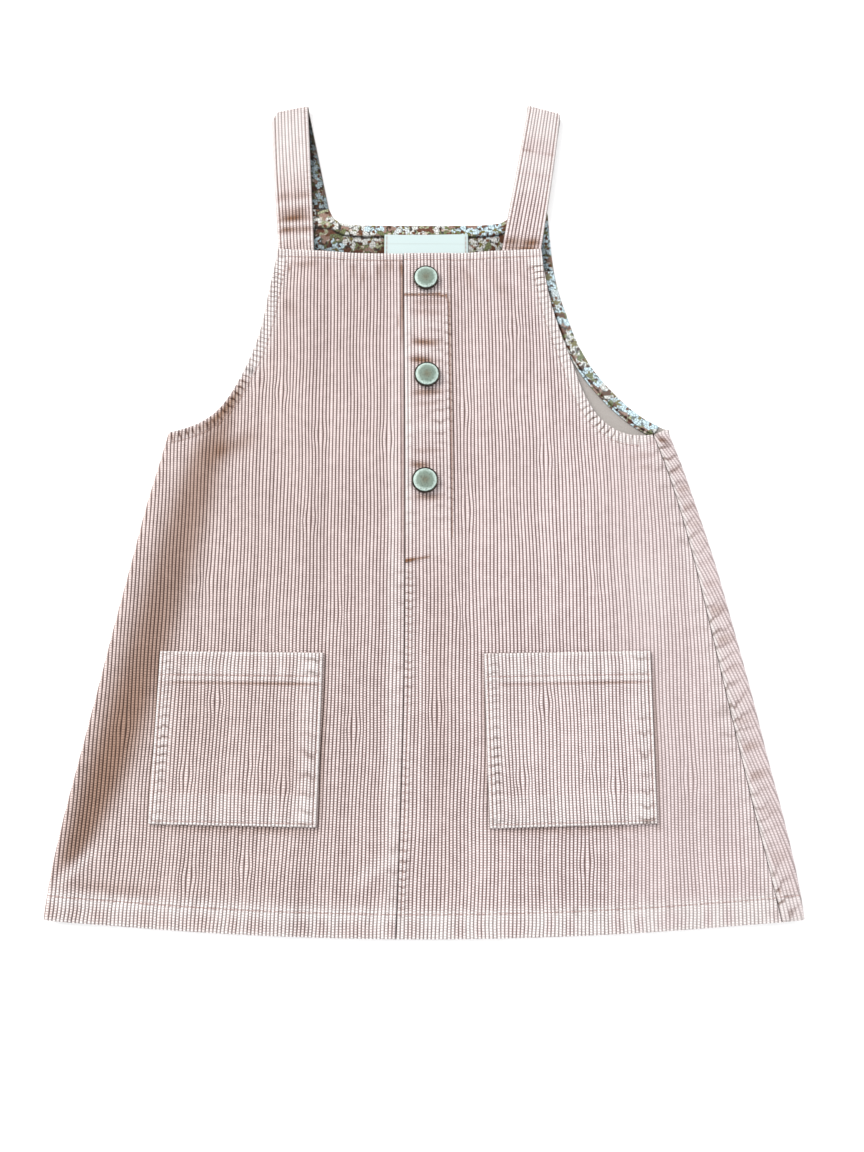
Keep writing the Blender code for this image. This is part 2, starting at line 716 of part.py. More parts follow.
def back():
    """The back: flat on the table, and wrapped over the right fold to the side seam."""
    gap = SEAM_GAP / 2
    step = math.pi * RIGHT_ROLL / ROLL_STEPS
    left_hem = float(left_seam(HEM_LEVEL)) - BACK_CENTRE + 2 * gap
    roll_hem = float(right_roll_start(HEM_LEVEL))
    roll_top = float(right_roll_start(UNDERARM))
    end_hem = float(right_roll_end(HEM_LEVEL))
    seam_hem = float(back_width(HEM_LEVEL)) - 2 * gap
    seam_top = float(back_width(UNDERARM)) - 2 * gap
    end_top = roll_top + math.pi * RIGHT_ROLL

    flat_across = list(np.linspace(left_hem, roll_hem, 24)[:-1])
    hem_turn = [roll_hem + index * step for index in range(ROLL_STEPS + 1)]
    hem_across = flat_across + hem_turn + columns(end_hem, seam_hem - 0.5) + [seam_hem]
    hem = [(across, hem_edge(lay_back, across)) for across in hem_across]
    on_seam = [across for across in columns(seam_top, seam_hem - 0.5)][::-1]

    def seam_point(across):
        return (across, crossing(back_width, across + 2 * gap))

    seam = [seam_point(across) for across in on_seam]
    armpit = [(seam_top, UNDERARM)]
    armpit += [
        (roll_top + index * step, UNDERARM + ARMPIT_RISE + ARMPIT_SLOPE * (ROLL_STEPS - index))
        for index in range(ROLL_STEPS, -1, -1)
    ]
    right_armhole = back_edge(BACK_RIGHT_ARMHOLE, 1)[::-2]
    neck = [(across, up) for across, up in rounded(NECKLINE, 12)[::-1]]
    neck += [(-across, up) for across, up in rounded(NECKLINE, 12)[1:]]
    left_armhole = back_edge(BACK_LEFT_ARMHOLE, -1)[::2]
    left_top = float(left_seam(UNDERARM)) - BACK_CENTRE + 2 * gap
    left = [(left_top, UNDERARM - 1.5)]
    left += [
        (float(left_seam(height)) - BACK_CENTRE + 2 * gap, height)
        for height in SEAM_ROWS[::-1]
    ]
    outline = hem + seam + armpit + right_armhole + neck + left_armhole + left

    def turn_line(index):
        feet = (hem_turn[index], hem_edge(lay_back, hem_turn[index]))
        line = [(float(right_roll_start(height)) + index * step, height) for height in FOLD_ROWS]
        return [feet] + line + [armpit[1 + ROLL_STEPS - index]]

    turns = [turn_line(index) for index in range(ROLL_STEPS)]
    last = turn_line(ROLL_STEPS)
    crests = []
    for across in columns(end_top + 0.5, seam_hem - 0.5):
        top = seam_point(across)[1] if across > seam_top else None
        if across <= end_hem:
            bottom = crossing(right_roll_end, across)
        else:
            bottom = hem_edge(lay_back, across)
        if top is None or top - bottom < 2.0:
            continue
        crests.append([(across, bottom), (across, (bottom + top) / 2), (across, top)])
    kept = [(line[0][0], line[0][1]) for line in crests if line[0][0] <= end_hem]
    last_fine = sorted(set([last[0], last[-1]] + kept), key=lambda point: point[1])

    def outer(across, up):
        x = lay_back(across, up, np.zeros_like(up))[0]
        turn = (across - right_roll_start(up)) / RIGHT_ROLL / math.pi
        relief = wale(across) * smooth(1 - ROLL_STEPS * (1 - turn))
        return WALL / 2 + relief + turned_hem(x, up) * smooth(2 * turn - 1)

    mesh = wall_mesh(
        "back",
        outline,
        lay_back,
        outer,
        plain_inner,
        outer_lines=turns + [last_fine] + crests,
        inner_lines=turns + [last],
    )
    return place("back", mesh, "corduroy")


def printed_layer(name, outline, floor, thickness, finish_name, dots=()):
    """A flat layer inside the dress, given as X and up, at one height over the table."""

    def lay(across, up, lift):
        return BACK_CENTRE + across, up, floor + thickness / 2 + lift

    def outer(across, up):
        return np.full_like(up, thickness / 2)

    def inner(across, up):
        return np.full_like(up, -thickness / 2)

    mesh = wall_mesh(name, outline, lay, outer, inner, dots=dots)
    return place(name, mesh, finish_name)


def inset(corners, by):
    """Corners of an open edge moved to its left-hand side by a distance."""
    points = np.array(corners)
    along = np.gradient(points, axis=0)
    along /= np.linalg.norm(along, axis=1)[:, None]
    leftwards = np.stack((-along[:, 1], along[:, 0]), axis=1)
    return [tuple(corner) for corner in (points + by * leftwards).tolist()]


def neck_facing():
    """The printed facing inside the back's neckline, up to the straps' linings."""
    right = [corner for corner in back_edge(BACK_RIGHT_ARMHOLE, 1)[::2] if corner[1] > FACING_END + 3]
    left = [corner for corner in back_edge(BACK_LEFT_ARMHOLE, -1)[::2] if corner[1] > FACING_END + 3]
    right = [(across - TRIM, up) for across, up in right[::-1]]
    right.insert(0, (width_at(BACK_RIGHT_ARMHOLE, FACING_END) - TRIM, FACING_END))
    left = [(across + TRIM, up) for across, up in left]
    left.append((-width_at(BACK_LEFT_ARMHOLE, FACING_END) + TRIM, FACING_END))
    neck = [(across, up - TRIM * (across < 60)) for across, up in rounded(NECKLINE, 12)[::-1]]
    neck += [(-across, up - TRIM * (across < 60)) for across, up in rounded(NECKLINE, 12)[1:]]
    outline = right + neck + left
    return printed_layer("facing_neck", outline, FACING_FLOOR, PRINT_WALL, "printed_cotton")


def width_at(rows, up):
    """Distance across at which an armhole's table has a given height."""
    table = sorted((row[1], row[0]) for row in rows)
    return float(np.interp(up, [row[0] for row in table], [row[1] for row in table]))


def armhole_facing():
    """The printed strip inside the right armhole of the back."""
    edge = [corner for corner in back_edge(BACK_RIGHT_ARMHOLE, 1) if corner[1] < FACING_END - 4]
    start = (width_at(BACK_RIGHT_ARMHOLE, FACING_END - SEAM_GAP), FACING_END - SEAM_GAP)
    edge = [start] + edge[:-1:2] + edge[-1:]
    near = inset(edge, -TRIM)
    far = inset(edge, -FACING_WIDTH)
    near[0] = (near[0][0], start[1])
    far[0] = (far[0][0], start[1])
    outline = near + far[::-1]
    return printed_layer("facing_armhole", outline, FACING_FLOOR, PRINT_WALL, "printed_cotton")


def label():
    """The blank label sewn under the neckline."""
    left = LABEL["left"] - BACK_CENTRE
    right = LABEL["right"] - BACK_CENTRE
    corners = [
        (left, LABEL["bottom"]),
        (right, LABEL["bottom"]),
        (right, LABEL["top"]),
        (left, LABEL["top"]),
    ]
    return printed_layer("label", corners, LABEL_FLOOR, PRINT_WALL, "label")


# ---------------------------------------------------------------- straps
def strap_rows(marks):
    """Distances along a strap at which its cloth has a row of points."""
    begins, ends, whole = marks
    turn = np.linspace(begins, ends, ROLL_STEPS + 1)
    back_run = np.linspace(0.0, begins, 3)[1:-1]
    front_run = np.linspace(ends, whole, 7)[1:-1]
    at_bib = whole - (BIB_TOP - STRAP_END) - 0.6
    return sorted([float(row) for row in (*back_run, *turn, *front_run, at_bib - 3.0, at_bib)])


def strap(name):
    """One strap of corduroy, from the back over the shoulder to behind the bib."""
    lay, marks = strap_plan(name, STRAP_TURN)
    whole = marks[2]
    half = STRAP_WIDTH / 2
    rows = strap_rows(marks)
    inside = columns(-half, half)
    across_all = [-half] + inside + [half]
    outline = [(across, 0.0) for across in across_all] + [(half, row) for row in rows]
    outline += [(across, whole) for across in across_all[::-1]] + [(-half, row) for row in rows[::-1]]
    crests = [[(across, row) for row in [0.0] + rows + [whole]] for across in inside]

    def outer(across, along):
        on_top = smooth((along - marks[0]) / (marks[1] - marks[0]) * 2 - 1)
        shown = smooth((whole - (BIB_TOP - STRAP_END) - 0.6 - along) / 3.0)
        return WALL / 2 + wale(across) * on_top * shown

    mesh = wall_mesh(
        f"strap_{name}",
        outline,
        lay,
        outer,
        plain_inner,
        outer_lines=crests,
        inner_lines=[[(0.0, row) for row in rows]],
    )
    return place(f"strap_{name}", mesh, "corduroy")


def strap_lining(name):
    """The printed lining on the inside of one strap."""
    lay, marks = strap_plan(name, LINING_TURN)
    whole = marks[2]
    half = STRAP_WIDTH / 2 - TRIM
    rows = strap_rows(marks)
    outline = [(-half, 0.0), (half, 0.0)] + [(half, row) for row in rows]
    outline += [(half, whole), (-half, whole)] + [(-half, row) for row in rows[::-1]]

    def outer(across, along):
        return np.full_like(along, PRINT_WALL / 2)

    def inner(across, along):
        return np.full_like(along, -PRINT_WALL / 2)

    mesh = wall_mesh(f"strap_lining_{name}", outline, lay, outer, inner)
    return place(f"strap_lining_{name}", mesh, "printed_cotton")


# ---------------------------------------------------------------- pockets and buttons
def pocket(name):
    """One patch pocket, laid on the front's wales, thicker at its hem and its turned edge."""
    top_left, top_right, bottom_right, bottom_left = (np.array(corner) for corner in POCKETS[name])
    width = float(np.linalg.norm(top_right - top_left))
    height = float(np.linalg.norm(top_left - bottom_left))

    def plan(across, along):
        part = (across / width)[:, None]
        rise = (along / height)[:, None]
        lower = bottom_left + part * (bottom_right - bottom_left)
        upper = top_left + part * (top_right - top_left)
        return (lower + rise * (upper - lower)).T

    def lay(across, along, lift):
        x, up = plan(across, along)
        return x, up, front_top(x, up) + SEAM_GAP + 0.1 + WALL / 2 + lift

    def outer(across, along):
        doubled = np.maximum(stepped(along - height + POCKET_HEM), stepped(POCKET_TURN - along))
        return WALL / 2 + wale(across) + POCKET_RISE * doubled

    steps = (POCKET_TURN, height - POCKET_HEM)
    rows = sorted([step + side for step in steps for side in (-HALF_STEP, HALF_STEP)] + [height / 2])
    inside = columns(0.0, width)
    across_all = [0.0] + inside + [width]
    outline = [(across, 0.0) for across in across_all] + [(width, row) for row in rows]
    outline += [(across, height) for across in across_all[::-1]] + [(0.0, row) for row in rows[::-1]]
    crests = [[(across, row) for row in [0.0] + rows + [height]] for across in inside]
    mesh = wall_mesh(
        f"pocket_{name}",
        outline,
        lay,
        outer,
        plain_inner,
        outer_lines=crests,
        dots=[(across, row) for across in np.arange(9.0, width - 5, 10.0) for row in rows[::2]],
    )
    return place(f"pocket_{name}", mesh, "corduroy")


def turned(name, profile, x, up, finish_name, sides=24):
    """A turned piece: a closed profile of radius and height, spun about an upright axis."""
    shell = bmesh.new()
    ring = [shell.verts.new((radius * MM, 0.0, height * MM)) for radius, height in profile]
    edges = [shell.edges.new((ring[index], ring[index + 1])) for index in range(len(ring) - 1)]
    bmesh.ops.spin(
        shell,
        geom=ring + edges,
        cent=(0, 0, 0),
        axis=(0, 0, 1),
        angle=math.tau,
        steps=sides,
        use_merge=True,
    )
    bmesh.ops.remove_doubles(shell, verts=shell.verts, dist=1e-6)
    bmesh.ops.recalc_face_normals(shell, faces=shell.faces)
    mesh = bpy.data.meshes.new(name)
    shell.to_mesh(mesh)
    shell.free()
    mesh.shade_smooth()
    mesh.set_sharp_from_angle(angle=math.radians(35))
    piece = place(name, mesh, finish_name)
    piece.location = (x * MM, (up - LENGTH / 2) * MM, 0.0)
    return piece


def button(number, x, up):
    """One tack button: a dark metal rim and shank, and a pale domed face set in it."""
    seat = float(upper_layer(x, up)) + WALL / 2 + PLACKET_RISE + WALE_RISE + SEAM_GAP
    under = seat + BUTTON_LIFT
    pan = under + PAN_HEIGHT
    crown = under + CAP_RISE
    dish_radius = BUTTON_RADIUS - RIM_WIDTH
    face_radius = dish_radius - FACE_CLEARANCE
    rim_profile = [
        (0.0, seat),
        (SHANK_RADIUS, seat),
        (SHANK_RADIUS, under),
        (BUTTON_RADIUS - RIM_ROUND, under),
        (BUTTON_RADIUS, under + RIM_ROUND),
        (BUTTON_RADIUS, under + RIM_HEIGHT - RIM_ROUND),
        (BUTTON_RADIUS - RIM_ROUND, under + RIM_HEIGHT),
        (dish_radius, under + RIM_HEIGHT),
        (dish_radius, pan),
        (0.0, pan),
    ]
    dome = [
        (face_radius * math.cos(angle), crown - DOME_RISE * (1 - math.sin(angle)))
        for angle in np.radians((0, 25, 50, 72))
    ]
    face_profile = [(0.0, pan + SEAM_GAP), (face_radius, pan + SEAM_GAP)] + dome + [(0.0, crown)]
    turned(f"button_{number}_rim", rim_profile, x, up, "button_rim")
    turned(f"button_{number}_face", face_profile, x, up, "button_face")


def main():
    """Clear the scene and lay out the dress, from the table up."""
    for old in list(bpy.data.objects):
        bpy.data.objects.remove(old)
    back()
    left_front()
    right_front()
    placket()
    neck_facing()
    armhole_facing()
    label()
    for name in STRAPS:
        strap(name)
        strap_lining(name)
    for name in POCKETS:
        pocket(name)
    for number, (x, up) in enumerate(BUTTONS, start=1):
        button(number, x, up)


main()
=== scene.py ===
"""The looks of a toddler's corduroy pinafore dress that lies flat with its front up.

Every piece of cloth is a thin closed shell over the form of its solid, worked out as a grid in the
flat pattern: one coordinate runs across the wales and the other runs up them.  The pattern is then
laid in space, over the fold at each side or over the shoulder.  Sizes are in millimetres until a
mesh is written, and heights up the dress count from the middle of the hem.  The frame is X to the
viewer's right, Y towards the straps and Z up.
"""

import logging
import math
from dataclasses import dataclass
from enum import Enum
from functools import cached_property
from typing import Callable, Mapping, Optional, Sequence, Union

import bpy
import numpy as np
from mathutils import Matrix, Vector


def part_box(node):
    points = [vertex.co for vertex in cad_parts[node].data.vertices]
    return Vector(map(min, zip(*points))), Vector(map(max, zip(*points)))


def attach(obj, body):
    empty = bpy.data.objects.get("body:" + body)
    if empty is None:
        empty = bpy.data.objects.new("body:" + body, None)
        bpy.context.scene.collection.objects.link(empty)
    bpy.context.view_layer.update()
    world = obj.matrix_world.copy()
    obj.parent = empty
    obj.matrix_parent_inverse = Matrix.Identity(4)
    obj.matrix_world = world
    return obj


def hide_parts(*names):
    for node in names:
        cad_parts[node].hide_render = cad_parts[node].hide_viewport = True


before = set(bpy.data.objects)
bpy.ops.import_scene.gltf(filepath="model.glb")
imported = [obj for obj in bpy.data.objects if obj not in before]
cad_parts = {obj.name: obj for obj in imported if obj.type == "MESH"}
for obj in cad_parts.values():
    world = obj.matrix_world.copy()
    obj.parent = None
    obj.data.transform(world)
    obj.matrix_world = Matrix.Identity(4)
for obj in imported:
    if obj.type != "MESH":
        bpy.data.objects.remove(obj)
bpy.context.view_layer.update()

LOG = logging.getLogger("pinafore")
Array = np.ndarray
Piece = bpy.types.Object
Material = bpy.types.Material
Rows = Sequence[Sequence[float]]
Lift = Callable[[Array, Array], Array]
Lay = Callable[[Array, Array, Array], Array]

MM = 0.001
BODY = "root"
HEM_Y = 275.0
FAR = 1e3
TINY = 1e-6
FADE_ENDS = (0.03, 0.97)
MIRROR = (-1, 1)


# ---------------- numbers and curves
def smooth(value: Array) -> Array:
    """A rise from 0 to 1 with a level start and end, 3t^2 - 2t^3, held outside 0 to 1."""
    value = np.clip(value, 0.0, 1.0)
    return value * value * (3 - 2 * value)


def bump(distance: Array, half_width: float) -> Array:
    """A soft ridge: exp(-(distance / half width)^2)."""
    return np.exp(-((distance / half_width) ** 2))


class Curve:
    """A smooth function through a table's rows, with slopes taken from the neighbours."""

    def __init__(self, keys: Sequence[float], values: Sequence[float]) -> None:
        """Keep the rows, whose keys rise, and work out each one's slope."""
        self.keys, self.values = np.array(keys, float), np.array(values, float)
        self.slopes = np.gradient(self.values, self.keys)

    def __call__(self, key: Array) -> Array:
        """The cubic through both ends of the key's span, with their slopes.

        Args:
            key: Where to read the curve; held at its ends.

        Returns:
            The values there.
        """
        key = np.clip(key, self.keys[0], self.keys[-1])
        right = np.clip(np.searchsorted(self.keys, key), 1, len(self.keys) - 1)
        columns = (self.keys, self.values, self.slopes)
        (key0, key1), (value0, value1), (slope0, slope1) = ((c[right - 1], c[right]) for c in columns)
        span = key1 - key0
        part = (key - key0) / span
        mean = (value1 - value0) / span
        bend = (1 - part) * (slope0 - mean) - part * (slope1 - mean)
        return value0 + part * (value1 - value0) + part * (1 - part) * span * bend


def curves(table: Rows) -> list[Curve]:
    """One smooth function of a table's first column for each of its other columns."""
    keys, *columns = zip(*table)
    return [Curve(keys, values) for values in columns]


def joined(across: Array, up: Array) -> Array:
    """A line from its two coordinates, either of which may be one number for all its points."""
    return np.stack(np.broadcast_arrays(across, up), axis=1)


def travels(line: Array) -> Array:
    """Distance along a line of points, up to each point."""
    return np.concatenate(([0.0], np.cumsum(np.hypot(*np.diff(line, axis=0).T))))


def through(rows: Rows, count: int = 48) -> Array:
    """A table of corners, as (across, up), drawn as one smooth line of points at even steps."""
    table = np.array(rows, float)
    travel = travels(table)
    steps = np.linspace(0.0, travel[-1], count)
    return np.stack([Curve(travel, table[:, axis])(steps) for axis in (0, 1)], axis=1)


def moved(line: Array, by: float) -> Array:
    """A line moved to its own left-hand side, or to its right where the distance is negative."""
    along = np.gradient(line, axis=0)
    along = along / np.linalg.norm(along, axis=1)[:, None]
    return line + by * np.stack((-along[:, 1], along[:, 0]), axis=1)


def mirrored(line: Array) -> Array:
    """A line that starts in the middle, with its mirror image before it."""
    return np.concatenate((line[::-1] * MIRROR, line[1:]))


def nearest(across: Array, up: Array, line: Array, reach: float = 14.0) -> tuple[Array, Array]:
    """Distance from points to a line, and how far along the line the nearest place lies.

    Each segment is tried in turn: the foot of the perpendicular is clipped to the segment.

    Args:
        across: First coordinate of the points.
        up: Second coordinate of the points.
        line: Points of shape (n, 2).
        reach: Points outside the line's own box, grown by this, are only called far away.

    Returns:
        The distances and the travels, in the shape of the points.
    """
    across, up = np.broadcast_arrays(across, up)
    best, travel = np.full(across.shape, FAR), np.zeros(across.shape)
    low, high = line.min(axis=0) - reach, line.max(axis=0) + reach
    near = (across > low[0]) & (across < high[0]) & (up > low[1]) & (up < high[1])
    a, b = across[near], up[near]
    closest, passed, start = np.full(a.shape, FAR), np.zeros(a.shape), 0.0
    for (x0, y0), (x1, y1) in zip(line[:-1], line[1:]):
        length = math.hypot(x1 - x0, y1 - y0)
        if length < TINY:
            continue
        part = np.clip(((a - x0) * (x1 - x0) + (b - y0) * (y1 - y0)) / length**2, 0.0, 1.0)
        distance = np.hypot(a - x0 - part * (x1 - x0), b - y0 - part * (y1 - y0))
        closer = distance < closest
        closest = np.where(closer, distance, closest)
        passed = np.where(closer, start + part * length, passed)
        start += length
    best[near], travel[near] = closest, passed
    return best, travel


def clearance(across: Array, up: Array, lines: Sequence[Array]) -> Array:
    """Distance from points to the nearest of some lines."""
    return np.min([nearest(across, up, line)[0] for line in lines], axis=0)


def wander(across: Array, up: Array, seed: float) -> Array:
    """Soft waves between -1 and 1, moved by a seed: three slanted sines of odd lengths, averaged."""
    first = np.sin(across / 7.3 + up / 31.0 + 1.7 * seed)
    second = np.sin(across / 11.9 - up / 17.0 + 2.9 * seed + 1.3 * np.sin(up / 43.0 + seed))
    third = np.sin(across / 17.7 + up / 11.3 + 4.1 * seed)
    return (first + second + third) / 3


def strokes(table: Rows, x: Array, up: Array) -> Array:
    """Soft bands between two points each, added together: creases, or changes of tone.

    A band is its amount * exp(-(distance / half width)^2), and fades towards both ends as the
    root of a half sine does.

    Args:
        table: Rows of x0, up0, x1, up1, half width and amount.
        x: X of the points.
        up: Height of the points above the hem.

    Returns:
        The sum at each point.
    """
    total = np.zeros(np.broadcast(x, up).shape)
    for x0, up0, x1, up1, half_width, amount in table:
        line = np.array(((x0, up0), (x1, up1)))
        distance, travel = nearest(x, up, line, 3 * half_width)
        share = np.clip(travel / math.hypot(x1 - x0, up1 - up0), *FADE_ENDS)
        total = total + amount * np.sqrt(np.sin(np.pi * share)) * bump(distance, half_width)
    return total


def parted(table: Rows, across: Array, up: Array) -> Array:
    """Sideways shift where the wales part, or crowd together if the amount is negative.

    A place adds amount * t * exp(-t^2 - s^2), with t and s in half widths and half lengths.

    Args:
        table: Rows of across, up, half width, half length and amount.
        across: First pattern coordinate.
        up: Second pattern coordinate.

    Returns:
        The sum at each point.
    """
    total = np.zeros(np.shape(up))
    for middle, height, width, length, amount in table:
        aside, along = (across - middle) / width, (up - height) / length
        total = total + amount * aside * np.exp(-(aside**2) - along**2)
    return total


# ---------------- the pattern laid in space
WALL = 1.5
PRINT_WALL = 1.0
SEAM_GAP = 0.3
HALF_GAP = SEAM_GAP / 2
WALE_PITCH = 2.2
WALE_RISE = 0.6
HEM_DEPTH = 14.7
HEM_RISE = 0.5
HEM_LEVEL = 10.0
UNDERARM = 306.0
BIB_TOP = 436.8
STRAP_SEAM = 470.0
STRAP_END = 424.0
FACING_END = 424.0
BACK_CENTRE = -3.2
TRIM = 0.4
FACING_FLOOR = WALL + SEAM_GAP
LABEL_FLOOR = FACING_FLOOR + PRINT_WALL + SEAM_GAP
TURN_HEIGHT = FACING_FLOOR + PRINT_WALL + HALF_GAP

SIDES = (
    # up, left fold, right fold, right seam
    (0, -220.6, 220.4, 207.4), (33, -218.4, 217.4, 201.9), (66, -213.6, 212.2, 195.6),
    (101, -206.9, 205.4, 189.4), (137, -200.0, 198.9, 183.1), (186, -190.9, 188.9, 174.7),
    (223, -183.6, 180.9, 168.0), (262, -176.1, 170.7, 159.6), (289, -169.8, 163.0, 152.2),
    (306, -166.0, 157.3, 146.5),
)
# up, X of the centre front seam
CENTRE_FRONT = ((0, -16.6), (78, -14.3), (150, -12.9), (222, -12.8), (437, -15))
# Armholes and neckline: distance from the centre front or the centre back, up
LEFT_ARMHOLE = (
    (84.8, 436.8), (85.4, 430.0), (88.0, 415.0), (90.8, 400.5), (93.6, 386.0), (97.3, 372.0),
    (102.3, 357.7), (108.5, 343.7), (115.8, 330.5), (121.5, 322.9), (130.0, 315.8), (143.0, 309.6),
    (151.0, 307.4),
)
RIGHT_ARMHOLE = (
    (92.6, 436.8), (93.4, 426.0), (97.6, 399.5), (103.2, 379.0), (110.2, 356.5), (117.8, 333.0),
    (127.0, 317.4), (139.6, 308.0), (152.0, 305.6),
)
BACK_RIGHT_ARMHOLE = (
    (86.6, 470.0), (87.5, 455.0), (88.2, 437.4), (91.7, 411.7), (97.7, 390.0), (105.5, 367.6),
    (114.4, 351.3), (125.3, 337.2), (135.8, 326.2), (146.6, 317.6), (154.6, 313.2),
)
BACK_LEFT_ARMHOLE = (
    (86.4, 470.0), (87.4, 455.0), (88.2, 437.0), (91.7, 411.7), (97.5, 390.0), (105.0, 367.0),
    (111.6, 351.3), (118.8, 337.5), (127.6, 325.4), (137.6, 316.1), (148.4, 309.6),
)
NECKLINE = ((0, 457.5), (27, 457.8), (46, 458.4), (55, 460), (60.5, 464), (62.8, 470))
NECK_POINTS = 24
SLOPE_SHADE = (
    # up, X, half width and depth of the painted shade on the slope beside the left fold
    (36, -211.5, 4, 0.6), (50, -205, 8, 0.74), (78.4, -194.7, 13, 0.82), (125, -180.9, 15.5, 0.82),
    (173.3, -168.8, 15.5, 0.72), (223.5, -156.4, 15, 0.66), (275.5, -144, 13, 0.66),
    (310, -134, 9.5, 0.6), (332, -126, 6, 0.5),
)
FRONT_CREASES = (
    # x0, up0, x1, up1, half width, rise
    (-47, 22, -17, 44, 4.5, 0.7), (-60, 30, -24, 58, 6, -0.4), (-216, 24, -188, 48, 4, 0.8),
    (-206, 16, -176, 21, 3.5, -0.5), (168, 22, 196, 46, 5, 0.6), (150, 28, 186, 60, 7, -0.4),
    (27, 424, 40, 400, 3.2, 0.5), (34, 428, 52, 404, 4, -0.45), (-72, 425, -96, 398, 4, 0.5),
    (-62, 424, -84, 388, 5, -0.4), (60, 426, 74, 396, 4.5, 0.45), (126, 300, 146, 250, 7, -0.4),
    (112, 292, 130, 232, 8, 0.5), (-120, 318, -100, 262, 8, 0.5), (-92, 300, -86, 236, 9, -0.35),
    (-98, 214, -88, 172, 7, 0.4), (-40, 236, -34, 128, 8, 0.35), (16, 212, 22, 96, 7, -0.35),
    (62, 236, 66, 172, 8, 0.4), (98, 228, 104, 170, 7, -0.3), (156, 214, 164, 110, 8, 0.4),
    (-120, 56, -104, 18, 6, 0.4), (70, 58, 92, 20, 7, 0.4),
)
FRONT_PAINTED_SHADING = (
    # x0, up0, x1, up1, half width, browner above nothing and paler below it: painted shade in creases, seam
    # gaps and pocket shadows, and painted highlight on ridges
    (-42.3, 30.6, -16.4, 47.3, 4, -0.5), (9, 238, 12, 22, 7, 0.12), (-19.5, 428, -20.5, 18, 3.4, -0.35),
    (-17.4, 433, -16.4, 418, 1.8, 0.7), (-15.9, 430, -15.6, 366, 0.9, 0.9),
    (-15.6, 366, -14, 224, 0.8, 0.45), (16.9, 404, 17.8, 238, 1.1, 0.4), (-90, 424, -70, 427, 2.6, 0.45),
    (-65.5, 428, -65, 417, 1.3, 0.35), (-49, 428, -48, 416, 1.6, 0.4), (-41, 422, -42.5, 412, 1.4, 0.45),
    (-32, 428, -31.5, 415, 1.6, 0.4), (-57, 427, -56, 414, 2, -0.4), (-36.5, 429, -36, 420, 1.6, -0.5),
    (-108, 306, -136, 292, 6, 0.5), (-27, 431, -26, 420, 2.6, 0.5), (-23, 430, -22, 421, 1.2, 0.5),
    (24, 424, 34, 406, 3.4, 0.3), (42, 420, 54, 400, 4, 0.25), (30, 426, 44, 404, 3, -0.3),
    (138, 228, 142, 180, 15, -0.3), (-208, 30, -150, 23, 4.5, 0.35), (-217, 27.8, -191.7, 50, 3.5, -0.5),
    (126, 297, 150, 300.5, 1.5, 0.4), (129, 290.5, 150, 292.5, 1.4, 0.35), (133, 283, 148, 284, 1.4, 0.3),
    (-100, 414.5, -89.5, 425, 1.9, 0.6), (-100, 404, -84, 388, 5, 0.2), (62, 428, 66, 414, 3, 0.25),
    (-18.4, 389.5, -17.8, 380.5, 0.5, 0.8), (-61, 164, -62.6, 62, 2, 0.45),
    (-162, 62.4, -63, 60.4, 2, 0.45), (-162.9, 166, -163.9, 64, 0.8, 0.3), (139, 165, 138, 62, 2, 0.45),
    (38, 60, 138, 62.6, 2, 0.45), (34.7, 165, 36.9, 62, 0.8, 0.3),
)


